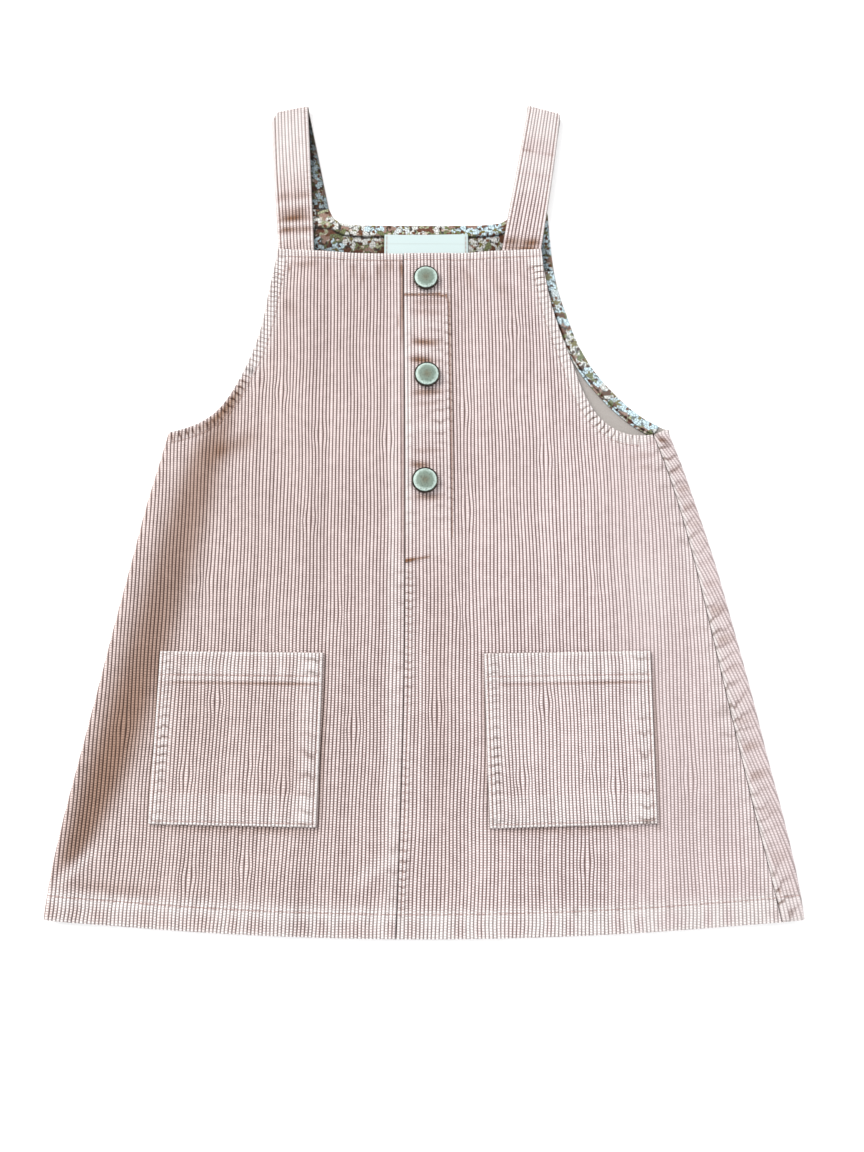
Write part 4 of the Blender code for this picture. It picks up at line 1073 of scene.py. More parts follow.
@dataclass
class Ply:
    """One wall of cloth as a grid of points in space.

    The outer skin has every column; the inner skin has every stride-th one.  Cells outside the
    kept ones are left out, and a rim joins the skins all round what is kept.
    """

    outer: Array
    inner: Array
    wales: Array
    up: Array
    tones: Mapping[str, Array]
    stride: int
    keep: Array

    def build(self, name: str) -> Piece:
        """Write the closed shell, with its pattern as a UV map and its tones as attributes.

        Args:
            name: The piece's name.

        Returns:
            The piece: material slot 0 is the right side and slot 1 the wrong side.
        """
        columns, rows = self.up.shape
        base = columns * rows
        outer_cells = grid_cells(columns, rows)[np.repeat(self.keep, self.stride, axis=0).ravel()]
        bands = (columns - 1) // self.stride
        inner_cells = (base + grid_cells(bands + 1, rows)[self.keep.ravel()])[:, ::-1]
        points = np.concatenate((self.outer.reshape(-1, 3), self.inner.reshape(-1, 3)))
        used = np.unique(np.concatenate((outer_cells.ravel(), inner_cells.ravel())))
        renumber = np.zeros(len(points), int)
        renumber[used] = np.arange(len(used))
        rims = [renumber[rim].tolist() for rim in self.rims(rows, base)]
        faces = renumber[outer_cells].tolist() + rims + renumber[inner_cells].tolist()
        piece = new_piece(name, points[used], faces)
        self.write_pattern(piece.data, used, len(outer_cells) + len(rims))
        return piece

    def rims(self, rows: int, base: int) -> list:
        """Faces that join the skins along every open edge: lower, upper, first and last side.

        Args:
            rows: Number of rows of points.
            base: Number of the first inner point.

        Returns:
            Lists of corner numbers.
        """
        padded = np.pad(self.keep, 1)
        here = padded[1:-1, 1:-1]

        def outer(k: int, j: int, i: int = 0) -> int:
            return (k * self.stride + i) * rows + j

        def run(k: int, j: int) -> list:
            return [outer(k, j, i) for i in range(self.stride + 1)]

        def inner(k: int, j: int) -> int:
            return base + k * rows + j

        kinds = (
            (padded[1:-1, :-2], lambda k, j: run(k, j)[::-1] + [inner(k, j), inner(k + 1, j)]),
            (padded[1:-1, 2:], lambda k, j: run(k, j + 1) + [inner(k + 1, j + 1), inner(k, j + 1)]),
            (padded[:-2, 1:-1], lambda k, j: [outer(k, j), outer(k, j + 1), inner(k, j + 1), inner(k, j)]),
            (padded[2:, 1:-1], lambda k, j: [outer(k + 1, j + 1), outer(k + 1, j), inner(k + 1, j),
                                             inner(k + 1, j + 1)]),
        )
        return [rim(k, j) for beside, rim in kinds for k, j in np.argwhere(here & ~beside).tolist()]

    def write_pattern(self, mesh: bpy.types.Mesh, used: Array, right_side: int) -> None:
        """Write the UV map in wale pitches, the tone attributes and the material slots.

        Args:
            mesh: The shell.
            used: Numbers of the grid's points that the mesh keeps, in its own order.
            right_side: Number of faces that belong to the right side.
        """

        def both(values: Array) -> Array:
            return np.concatenate((values.ravel(), values[:: self.stride].ravel()))[used]

        write_uv(mesh, np.stack((both(self.wales), both(self.up / WALE_PITCH)), axis=1))
        for name, values in self.tones.items():
            mesh.attributes.new(name, "FLOAT", "POINT").data.foreach_set("value", both(values))
        slots = np.zeros(len(mesh.polygons), np.int32)
        slots[right_side:] = 1
        mesh.polygons.foreach_set("material_index", slots)


# ---------------- sewing
@dataclass(frozen=True)
class Stitching:
    """A sewn line on one piece: where it runs, how it draws the cloth in, and the painted shade and
    highlight that go with it.

    Its slant is how far the creases lean along the line for each millimetre away from it.
    """

    line: Array
    groove: float = 0.32
    pucker: float = 0.16
    spread: float = 3.2
    period: float = 8.0
    pale: float = 0.35
    crease: float = 0.2
    line_shade: float = 0.7
    slant: float = 0.0
    threads: bool = True
    seed: float = 0.0

    def shape(self, across: Array, up: Array) -> tuple[Array, Array, Array, Array]:
        """A narrow groove along the line, and bulges across it with sharp creases between them.

        A bulge is |sin(pi * turn)|, whose turns are a period long and drift a little.  The finish
        draws the creases from the turns, finer than the grid could.

        Args:
            across: First pattern coordinate.
            up: Second pattern coordinate.

        Returns:
            What the line adds to the cloth's height, its painted shade less the painted highlight beside it,
            the turns, and how strongly the creases' painted shade shows.
        """
        distance, travel = nearest(across, up, self.line)
        drift = 0.3 * np.sin(travel / 17.0 + self.seed) + 0.2 * np.sin(travel / 7.9 + 2 * self.seed)
        turn = (travel + self.slant * distance) / self.period + drift
        turn += 0.1 * np.sin(distance / 1.9 + travel / 5.1)
        bulge = np.abs(np.sin(np.pi * turn))
        reach = bump(distance, self.spread)
        wave = np.sin(travel / 23.0 + 3.1 * self.seed) + np.sin(travel / 8.9 + 1.9 * self.seed)
        uneven = reach * (0.72 + 0.36 * wave)
        height = 1.5 * self.pucker * (bulge - 0.64) * uneven - self.groove * bump(distance, 0.75)
        # painted shade along the line, less a painted highlight on the puckered band beside it
        browner = self.line_shade * bump(distance, 0.55) - self.pale * reach
        return height, browner, turn, self.crease * uneven


def creased(line: Array, **settings: float) -> Stitching:
    """A seam that shows by its creases alone: without thread, groove or dark line."""
    return Stitching(line, **{"groove": 0.0, "line_shade": 0.0, "threads": False, **settings})


@dataclass(frozen=True)
class Thread:
    """The size of one stitch, and how it sits in the cloth."""

    length: float = 2.7
    gap: float = 0.5
    radius: float = 0.2
    sides: int = 5
    rings: int = 5
    dip: float = 0.42
    taper: float = 0.35

    def tubes(self, line: Array, lay: Lay, level: Lift) -> Array:
        """Every stitch of one line, as rings of points.

        A stitch follows the line: its middle lies at the given level, and its ends dip into the
        cloth as (2t - 1)^4 does.

        Args:
            line: The line in the pattern, of shape (n, 2).
            lay: How the pattern lies.
            level: The stitches' distance off the middle of the wall.

        Returns:
            Points of shape (stitches, rings, sides, 3).
        """
        travel = travels(line)
        count = max(1, int((travel[-1] - self.gap) // (self.length + self.gap)))
        pace = travel[-1] / count
        share = np.linspace(0.0, 1.0, self.rings)
        reach = (np.arange(count) + 0.5)[:, None] * pace + (share - 0.5) * (pace - self.gap)
        across, up = (np.interp(reach, travel, line[:, axis]) for axis in (0, 1))
        end = (2 * share - 1) ** 4
        middle = lay(across, up, level(across, up) - self.dip * end)
        along = np.gradient(middle, axis=1)
        along /= np.linalg.norm(along, axis=2)[:, :, None]
        aside = np.cross(along, np.array((0.0, 0.0, 1.0)))
        aside /= np.maximum(np.linalg.norm(aside, axis=2), TINY)[:, :, None]
        above = np.cross(aside, along)
        turn = np.linspace(0.0, 2 * np.pi, self.sides, endpoint=False)[:, None]
        ring = np.cos(turn) * aside[:, :, None, :] + np.sin(turn) * above[:, :, None, :]
        thin = self.radius * (1 - self.taper * end)
        return middle[:, :, None, :] + thin[:, None, None] * ring

    def sew(self, name: str, blocks: Sequence[Array]) -> Piece:
        """Join the stitches of some lines into one mesh.

        Args:
            name: The piece's name.
            blocks: The points of each line's stitches.

        Returns:
            The piece, with a UV map of each stitch's number and the travel along it.
        """
        points = np.concatenate(blocks)
        count, size = len(points), self.rings * self.sides
        ring = np.arange(self.sides)
        ends = np.stack((ring[::-1], size - self.sides + ring))
        first = (np.arange(count) * size)[:, None, None]
        faces = (first + ring_cells(self.rings, self.sides)[None]).reshape(-1, 4).tolist()
        faces += (first + ends[None]).reshape(-1, self.sides).tolist()
        piece = new_piece(name, points.reshape(-1, 3), faces)
        travel = np.tile(np.repeat(np.arange(self.rings), self.sides), count) * self.length / self.rings
        number = np.repeat(np.arange(count), size)
        write_uv(piece.data, np.stack((number, travel), axis=1).astype(float))
        return piece


class Slot(Enum):
    """The record's names for the finishes."""

    CORDUROY = "corduroy"
    PRINT = "printed_cotton"
    TAPE = "label_tape"
    FACE = "button_face"
    RIM = "button_rim"


def dress(piece: Piece, slot: Slot, materials: Sequence[Material],
          node: Optional[str] = None) -> Piece:
    """Give a piece its finishes, tie it to the frame and report it.

    Args:
        piece: The finished object.
        slot: The record's slot for it; not used.
        materials: One material for each of its slots.
        node: The solid that it stands for, if it stands for one.

    Returns:
        The piece.
    """
    for material in materials:
        piece.data.materials.append(material)
    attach(piece, BODY)
    if node is not None:
        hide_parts(node)
    LOG.info("%s: %d faces", piece.name, len(piece.data.polygons))
    return piece


# ---------------- the pieces of cloth
FINE = (0.0, 0.2, 0.6, 1.2, 2.2)
EDGE_CALM = 9.0
OUTER_FALL = 0.75
INNER_FALL = 0.5
SHORTEST = 0.6
THREAD_SHARE = 0.67
STITCH_FROM_HEM = 13.7
STITCH_FROM_BIB = 5.5
STITCH_FROM_ARMHOLE = 7.5


def placed(x: Array, up: Array, z: Array) -> Array:
    """Points of shape (..., 3) from their three coordinates."""
    return np.stack(np.broadcast_arrays(x, up, z), axis=-1)


@dataclass
class Cloth:
    """A piece of cloth: a pattern that is worked out, laid in space and sewn.

    The first pattern coordinate runs across the wales and the second up them.  Each kind of
    piece says where its pattern ends, how it lies, what stands out of it and what is sewn on it.
    """

    node: str = ""
    slot: Slot = Slot.CORDUROY
    rests_on: tuple[str, ...] = ()
    turned_in: float = 0.0
    low: Sequence[float] = FINE
    high: Sequence[float] = FINE
    rows: int = 80
    samples: int = 5
    wall: float = WALL
    rise: float = WALE_RISE
    meander: float = 0.5
    spreads: Rows = ()
    seed: float = 0.0
    edge_pale: float = 0.8
    edge_reach: float = 1.7
    # where the pattern's lower end and its sides lie, if they are straight
    start: float = 0.0
    left: float = 0.0
    right: float = 0.0
    # finishes of the right and the wrong side
    skins: tuple[str, str] = ("pile", "wrong_side")

    def marks(self) -> Sequence[float]:
        """The first and last place across, and any between them that lie in a groove."""
        return (self.left, self.right)

    def bottom(self, across: Array) -> Array:
        """The pattern's lower end at some places across: straight, unless a piece says more."""
        return np.full(np.shape(across), self.start)

    def top(self, across: Array) -> Array:
        """The pattern's upper end at some places across."""
        raise NotImplementedError

    def lay(self, across: Array, up: Array, lift: Array) -> Array:
        """Points in space of pattern coordinates and distances off the middle of the wall."""
        raise NotImplementedError

    def relief(self, across: Array, up: Array, height: Array) -> Array:
        """The wales' height, changed where they lie underneath."""
        return height

    def step(self, across: Array, up: Array) -> Array:
        """What turned edges, layers and creases add to the height: nothing, unless a piece says more."""
        return np.zeros(np.shape(up))

    # how much browner the cloth is with painted shade, or paler below nothing with painted highlight and
    # wear, and how little its grooves show
    tone = soft = step

    def stitching(self) -> Sequence[Stitching]:
        """The sewn lines."""
        return ()

    def edges(self, place: Array) -> Sequence[Array]:
        """The open edges, which round off: by default the pattern's four sides."""
        some = place[:: self.samples if self.samples < 4 else 2]
        lower, upper = joined(some, self.bottom(some)), joined(some, self.top(some))
        return (lower, upper, np.stack((lower[0], upper[0])), np.stack((lower[-1], upper[-1])))

    def butted(self) -> Sequence[Array]:
        """Edges that meet another piece and stay full."""
        return ()

    def turned(self, edges: Sequence[Array]) -> Sequence[Array]:
        """The turned edges, which are worn pale and carry a painted highlight."""
        return edges

    def levels(self, place: Array, length: Array) -> Array:
        """Distances of the rows of points up each column."""
        return spaced_rows(self.low, self.high, self.rows, length)

    def keep(self, place: Array, rows: int) -> Array:
        """Which cells of the coarse grid belong to the piece."""
        return np.ones((len(place) - 1, rows - 1), bool)

    def level(self, across: Array, up: Array) -> Array:
        """Where a thread lies on the right side: two thirds up the wales, on any step."""
        height = np.full(np.shape(across), THREAD_SHARE * self.rise)
        return self.wall / 2 + (self.relief(across, up, height) + self.step(across, up))

    def build(self) -> Piece:
        """Work out both skins and write the shell.

        The outer skin is half the wall, plus the wales, plus any step, groove and pucker, less
        the rounding at the edges.  Columns wander sideways a little, as woven wales do.

        Returns:
            The piece.
        """
        place, counts = wale_columns(self.marks(), self.samples)
        bottom = self.bottom(place)
        length = np.maximum(self.top(place) - bottom, SHORTEST)
        up = bottom[:, None] + self.levels(place, length)
        across, wales = (np.repeat(row[:, None], up.shape[1], axis=1) for row in (place, counts))
        edges = self.edges(place)
        inside = smooth(clearance(across, up, (*edges, *self.butted())) / EDGE_CALM)
        shift = self.meander * wander(across, up, self.seed) + parted(self.spreads, across, up)
        across = across + inside * shift
        height = self.relief(across, up, self.rise * wale_profile(wales)) + self.step(across, up)
        tone = self.tone(across, up)
        turn, drawn = np.zeros_like(up), np.zeros_like(up)
        for sewn in self.stitching():
            change, browner, its_turn, its_drawn = sewn.shape(across, up)
            height = height + change
            tone = tone + browner
            turn = np.where(its_drawn > drawn, its_turn, turn)
            drawn = np.maximum(its_drawn, drawn)
        # turned edges: pale from wear and from a painted highlight
        worn = bump(clearance(across, up, self.turned(edges)), self.edge_reach)
        tone = tone - self.edge_pale * worn
        fall = edge_round(clearance(across, up, edges))
        some = slice(None, None, self.samples)
        outer = (self.wall / 2 + height) * (1 - OUTER_FALL * fall)
        inner = -self.wall / 2 * (1 - INNER_FALL * fall[some])
        ply = Ply(
            outer=self.lay(across, up, outer),
            inner=self.lay(across[some], up[some], inner),
            wales=wales,
            up=up,
            # brown carries painted shade and a few dark marks; pale carries painted highlight and wear
            tones={"pale": np.clip(-tone, 0, 1), "brown": np.clip(tone, 0, 1),
                   "soft": self.soft(across, up), "turn": turn, "drawn": drawn},
            stride=self.samples,
            keep=self.keep(place[some], up.shape[1]),
        )
        return ply.build(f"{self.node}_cloth")

    def make(self, finishes: Finishes) -> None:
        """Build the piece and its stitches; its flat size is the pattern's whole width and length, and the
        width counts any cloth that is turned in.

        Args:
            finishes: The materials.
        """
        skins = [getattr(finishes, skin) for skin in self.skins]
        piece = dress(self.build(), self.slot, skins, self.node)
        thread = Thread()
        blocks = [thread.tubes(s.line, self.lay, self.level) for s in self.stitching() if s.threads]
        sewn = [thread.sew(f"stitches_{self.node}", blocks)] if blocks else []
        with_pieces = [dress(threads, self.slot, (finishes.thread,)) for threads in sewn]
        place, _ = wale_columns(self.marks(), self.samples)
        bottom, top = self.bottom(place), self.top(place)
        flat = ((np.ptp(self.marks()) + self.turned_in) * MM, (top.max() - bottom.min()) * MM)
        list(self.rests_on)


@dataclass
class Hemmed(Cloth):
    """A piece that reaches the hem: what the fronts and the back share."""

    hem_inset: tuple[float, float] = (1.0, 1.0)
    hem_points: int = 90

    def bottom(self, across: Array) -> Array:
        """Height of the hem where the pattern's line meets it."""
        level = np.full(np.shape(across), HEM_LEVEL)
        return DRAFT.hem_height(self.lay(across, level, 0 * level)[..., 0])

    def hem_line(self, above: float = 0.0) -> Array:
        """The hem's edge, or a line above it."""
        first, *_, last = self.marks()
        from_first, from_last = self.hem_inset
        across = np.linspace(first + from_first, last - from_last, self.hem_points)
        return joined(across, self.bottom(across) + above)

    def hem_inside(self, across: Array, up: Array) -> Array:
        """How far below the turned hem's upper end a point lies."""
        return HEM_DEPTH - (up - self.bottom(across))

    def hem_pale(self, across: Array, up: Array, pitch: float, sway: float, run: float) -> Array:
        """The doubled hem's paleness, in streaks: a sine across whose phase sways as a sine.

        Args:
            across: First pattern coordinate.
            up: Second pattern coordinate.
            pitch: Width of a streak over 2 pi.
            sway: How far the phase sways.
            run: Length of the sway over 2 pi.

        Returns:
            The paleness, from 0 to 1.
        """
        streaks = 0.6 + 0.4 * np.sin(across / pitch + sway * np.sin(across / run))
        return smooth((self.hem_inside(across, up) + 1.0) / 2.0) * streaks


FRONT_LOW = (0.0, 0.2, 0.6, 1.2, 2.4, 4.5, 7.0, 9.5, 11.6, 12.7, 13.3, 13.8, 14.3, 14.8, 15.4, 16.6, 19.0)
FRONT_HIGH = (0.0, 0.2, 0.6, 1.2, 2.4, 3.8, 4.8, 5.5, 6.2, 7.0, 7.6, 8.2, 9.0, 10.6)
ARMHOLE_CREASES = 3.8
ARMHOLE_SEAM = {"pucker": 0.1, "pale": 0.2, "crease": 0.0, "line_shade": 0.4}
SEAM_POINTS = 36
BIB_POINTS = 24
LEFT_SPREADS = (
    # across, up, half width, half length, how far the wales part
    (-10.5, 303, 3.4, 8, 2), (-95, 345, 3.8, 7, 1.9), (-80, 336, 3.8, 6, 2), (-60, 250, 3.8, 7, 1.8),
    (-125, 210, 3.8, 7, -1.4), (-30, 120, 3.8, 8, 1.9), (-38, 190, 3.8, 9, -1.4),
    (-168, 120, 3.8, 8, 1.7), (-90, 40, 3.8, 6, 1.9), (-122, 34, 3.8, 6, 2), (-54, 306, 3.8, 7, 1.8),
)
RIGHT_SPREADS = (
    (37.5, 322, 3.4, 8, 2), (39, 256, 3.6, 10, 2), (72, 380, 3.8, 7, 1.7), (90, 290, 3.8, 8, 1.6),
    (120, 210, 3.8, 8, -1.4), (20, 130, 3.8, 9, 1.8), (35, 190, 3.8, 9, -1.4),
    (172, 90, 3.8, 8, 1.8), (110, 42, 3.8, 7, 1.8),
)


@dataclass
class Front(Hemmed):
    """What the two front panels share; the left one counts its distances across below nothing."""

    side: int = 1
    armhole: Rows = RIGHT_ARMHOLE
    beside: float = HALF_GAP
    armhole_end: float = UNDERARM
    seam_start: float = UNDERARM
    low: Sequence[float] = FRONT_LOW
    high: Sequence[float] = FRONT_HIGH
    meander: float = 0.55
    lit_from: float = -100.0
    lit_run: float = 200.0
    averted_from: float = 95.0
    averted_below: float = 335.0
    averted_run: float = 40.0
    bib_reach: float = 90.0

    @cached_property
    def widest(self) -> float:
        """From the centre front to the side seam at the hem."""
        return float(DRAFT.front_width(HEM_LEVEL)) - HALF_GAP

    @cached_property
    def edge(self) -> Array:
        """The bib, the armhole and the side seam, from the middle outwards, as distances.

        Returns:
            The line in the pattern, of shape (n, 2).
        """
        bib = np.linspace(self.beside, self.armhole[0][0], BIB_POINTS)
        seam_top = float(DRAFT.front_width(UNDERARM)) - HALF_GAP
        armhole = through((*self.armhole, (seam_top, self.armhole_end)))
        up = np.linspace(self.seam_start, 0.0, SEAM_POINTS)
        seam = joined(DRAFT.front_width(up) - HALF_GAP, up)
        return np.concatenate((joined(bib, DRAFT.bib_edge(self.side * bib)), armhole[1:], seam))

    def top(self, across: Array) -> Array:
        """The bib's edge, the armhole or the side seam."""
        return np.interp(self.side * across, self.edge[:, 0], self.edge[:, 1])

    def lay(self, across: Array, up: Array, lift: Array) -> Array:
        """On top, or round the left fold."""
        return DRAFT.lay_front(across, up, lift)

    def turned(self, edges: Sequence[Array]) -> Sequence[Array]:
        """The hem, the bib's edge and the armhole."""
        return (self.hem_line(), self.edge[:-SEAM_POINTS] * (self.side, 1))

    def bib_line(self) -> Array:
        """The stitching below the bib's edge."""
        across = self.side * np.linspace(self.beside, self.armhole[0][0] - 0.6, BIB_POINTS)
        return joined(across, DRAFT.bib_edge(across) - STITCH_FROM_BIB)

    def armhole_line(self, inward: float, part: slice = slice(None)) -> Array:
        """The armhole's edge or a part of it, moved into the panel."""
        return moved((through(self.armhole[1:]) * (self.side, 1))[part], -self.side * inward)

    def side_line(self, up: Array, inward: float) -> Array:
        """A line beside the side seam."""
        return joined(self.side * (DRAFT.front_width(up) - inward), up)

    def relief(self, across: Array, up: Array, height: Array) -> Array:
        """The wales, sunk so that their crests are level with the table underneath."""
        return height - WALE_RISE * smooth(DRAFT.left_turned(across, up))

    def step(self, across: Array, up: Array) -> Array:
        """The turned hem's own thickness, with a soft step up to it."""
        on_top = smooth(1 - 2 * DRAFT.left_turned(across, up))
        return HEM_RISE * smooth(self.hem_inside(across, up) + 0.5) * on_top

    def tone(self, across: Array, up: Array) -> Array:
        """Painted shade on the slope beside the left fold, painted shade and highlight from its strokes;
        pale along the hem and the bib's edge.

        The hem grows paler to the right, where it faces the light.

        Args:
            across: First pattern coordinate.
            up: Second pattern coordinate.

        Returns:
            How much browner the cloth is, or paler below nothing.
        """
        x = DRAFT.centre_front(up) + across
        over = smooth(1 - 3 * DRAFT.left_turned(across, up))
        facing_light = 1 + 1.1 * smooth((x - self.lit_from) / self.lit_run)
        hem = 0.55 * self.hem_pale(across, up, pitch=2.9, sway=1.7, run=7.3) * facing_light
        bib = 0.3 * smooth((up - DRAFT.bib_edge(across) + STITCH_FROM_BIB + 0.5) / 1.5)
        # painted shade beside the left fold, and the strokes' painted shade and highlights
        brown = DRAFT.slope_shade_share(x, up) + strokes(FRONT_PAINTED_SHADING, x, up)
        return over * brown - hem - bib * (np.abs(across) < self.bib_reach)

    def soft(self, across: Array, up: Array) -> Array:
        """Less contrast between crest and groove where the skirt turns from the light."""
        aside = DRAFT.centre_front(up) + across - self.averted_from
        return 0.4 * smooth(aside / self.averted_run) * smooth((self.averted_below - up) / self.averted_run)


@dataclass
class LeftFront(Front):
    """The left front panel, with its edge folded under to the hidden side seam."""

    node: str = "front_left"
    rests_on: tuple[str, ...] = ("back", "facing_neck", "strap_left")
    side: int = -1
    armhole: Rows = LEFT_ARMHOLE
    armhole_end: float = UNDERARM - 1.5
    seam_start: float = UNDERARM - 4.0
    spreads: Rows = LEFT_SPREADS
    rows: int = 100
    seed: float = 1.3
    hem_inset: tuple[float, float] = (1.0, 0.0)

    def marks(self) -> Sequence[float]:
        """From the side seam to the centre front."""
        return (-self.widest, -HALF_GAP)

    def stitching(self) -> Sequence[Stitching]:
        """Hem, bib, armhole with two kinds of creases, corner, side seam and centre front.

        Returns:
            The sewn lines.
        """
        return (
            Stitching(self.hem_line(STITCH_FROM_HEM), pucker=0.2, spread=4.2, period=9.0, pale=0.8,
                      line_shade=0.9, seed=1.0),
            Stitching(self.bib_line(), pucker=0.1, seed=2.0),
            Stitching(self.armhole_line(STITCH_FROM_ARMHOLE), seed=3.0, **ARMHOLE_SEAM),
            creased(self.armhole_line(ARMHOLE_CREASES, slice(27)), pucker=0.2, spread=4.6, period=3.2,
                    pale=0.9, crease=0.6),
            creased(self.armhole_line(ARMHOLE_CREASES, slice(26, None)), pucker=0.2, spread=3.6,
                    period=4.6, pale=-0.4, crease=0.8),
            Stitching(np.array(((-85.5, 417.0), (-74.9, 422.2))), pucker=0.0, seed=4.0),
            creased(self.side_line(np.linspace(298.0, 20.0, 50), 2.5), groove=0.1, pucker=0.2,
                    spread=5.0, period=11.0),
            creased(joined(-1.6, np.linspace(222.0, 16.0, 40)), groove=0.12, pucker=0.14, spread=4.5,
                    period=9.5, pale=0.25),
        )


PLACKET_WIDTH = 31.6
BUTT_GAP = 0.05
HAIR = 0.01
PLACKET_RISE = 0.6
# across, up
PLACKET_FOOT = ((0, 222), (16, 223.4), (26.5, 229.4), (31.6, 240))


@dataclass
class RightFront(Front):
    """The right front panel, with the placket's place left out of it."""

    node: str = "front_right"
    rests_on: tuple[str, ...] = ("back", "facing_neck", "strap_right")
    beside: float = PLACKET_WIDTH + BUTT_GAP
    seam_start: float = UNDERARM - 1.5
    spreads: Rows = RIGHT_SPREADS
    seed: float = 2.1
    hem_inset: tuple[float, float] = (0.0, 2.0)
    rows_below: int = 52
    rows_above: int = 44
    most_below: float = 0.55

    def marks(self) -> Sequence[float]:
        """The centre front, the placket's right edge and the side seam."""
        return (HALF_GAP, self.beside, self.widest)

    def foot(self, across: Array) -> Array:
        """Height of the notch under the placket, just clear of the placket's foot."""
        keys, heights = zip(*PLACKET_FOOT)
        keys = [0.0] + [key + BUTT_GAP / 2 for key in keys[1:-1]] + [self.beside]
        return np.interp(across, keys, np.array(heights) - BUTT_GAP)

    def top(self, across: Array) -> Array:
        """The notch under the placket, and the outer edge beside it."""
        return np.where(across < self.beside - HAIR, self.foot(across), super().top(across))

    def edges(self, place: Array) -> Sequence[Array]:
        """The hem, the centre front and the outer edge."""
        middle = joined(HALF_GAP, np.array((self.bottom(HALF_GAP), self.foot(HALF_GAP))))
        return (self.hem_line(), middle, self.edge)

    def butted(self) -> Sequence[Array]:
        """The notch's foot and its upright side."""
        across = np.linspace(HALF_GAP, self.beside, 20)
        notch = joined(across, self.foot(across))
        return (notch, np.array((notch[-1], (self.beside, DRAFT.bib_edge(self.beside)))))

    def levels(self, place: Array, length: Array) -> Array:
        """Rows in two blocks that meet at the height of the placket's foot.

        Args:
            place: Places across.
            length: Length of each column.

        Returns:
            Distances up each column, of shape (columns, rows).
        """
        split = np.minimum(self.foot(self.beside) - self.bottom(place), self.most_below * length)
        split = np.where(place < self.beside - HAIR, length, split)
        below = spaced_rows(FRONT_LOW, FINE, self.rows_below, split)
        above = spaced_rows(FINE, FRONT_HIGH, self.rows_above, np.maximum(length - split, 0.3))
        return np.concatenate((below, split[:, None] + above[:, 1:]), axis=1)

    def keep(self, place: Array, rows: int) -> Array:
        """Every cell but those over the notch."""
        split_row = len(FRONT_LOW) + self.rows_below + len(FINE) - 1
        kept = np.ones((len(place) - 1, rows - 1), bool)
        kept[place[1:] < self.beside + HAIR, split_row:] = False
        return kept

    def stitching(self) -> Sequence[Stitching]:
        """Hem, bib, armhole with its creases, corner, side seam and centre front.

        Returns:
            The sewn lines.
        """
        return (
            Stitching(self.hem_line(STITCH_FROM_HEM), pucker=0.2, spread=3.8, period=10.0, pale=0.5,
                      seed=5.0),
            Stitching(self.bib_line(), pucker=0.12, seed=6.0),
            Stitching(self.armhole_line(STITCH_FROM_ARMHOLE), seed=7.0, **ARMHOLE_SEAM),
            creased(self.armhole_line(ARMHOLE_CREASES), pucker=0.2, spread=4.6, period=4.1, pale=0.9,
                    crease=0.75, seed=0.6),
            Stitching(np.array(((81.3, 422.2), (89.0, 420.8))), pucker=0.0, seed=8.0),
            creased(self.side_line(np.linspace(300.0, 16.0, 50), 3.0), groove=0.05, pucker=0.24,
                    spread=6.5, period=11.5, pale=0.25),
            Stitching(joined(2.6, np.linspace(219.0, 12.0, 40)), groove=0.18, pucker=0.12, spread=3.4,
                      period=4.6, pale=0.25, crease=0.5, line_shade=0.4),
        )


PLACKET_CREASES = (
    # x0, up0, x1, up1, half width, rise
    (-12, 392, 12, 391.5, 2.2, -0.15), (-12, 371, 10, 369.5, 2.6, -0.35),
    (-11, 364.5, 10, 364, 2, 0.28), (-13, 358.5, 6, 357, 2.6, -0.4), (-11, 334.5, 12, 336, 2.4, -0.3),
    (-10, 327, 12, 327.5, 1.6, -0.15), (-12, 295, 12, 295.5, 2, -0.15),
    (-13, 286.5, 4, 285, 2.4, -0.35), (-10, 265, 12, 264, 2.4, -0.25), (-12, 384, 10, 383, 3, 0.25),
    (-12, 310, 12, 311.5, 3.4, 0.2), (-13, 398.5, 17, 399, 3.2, -0.15),
)


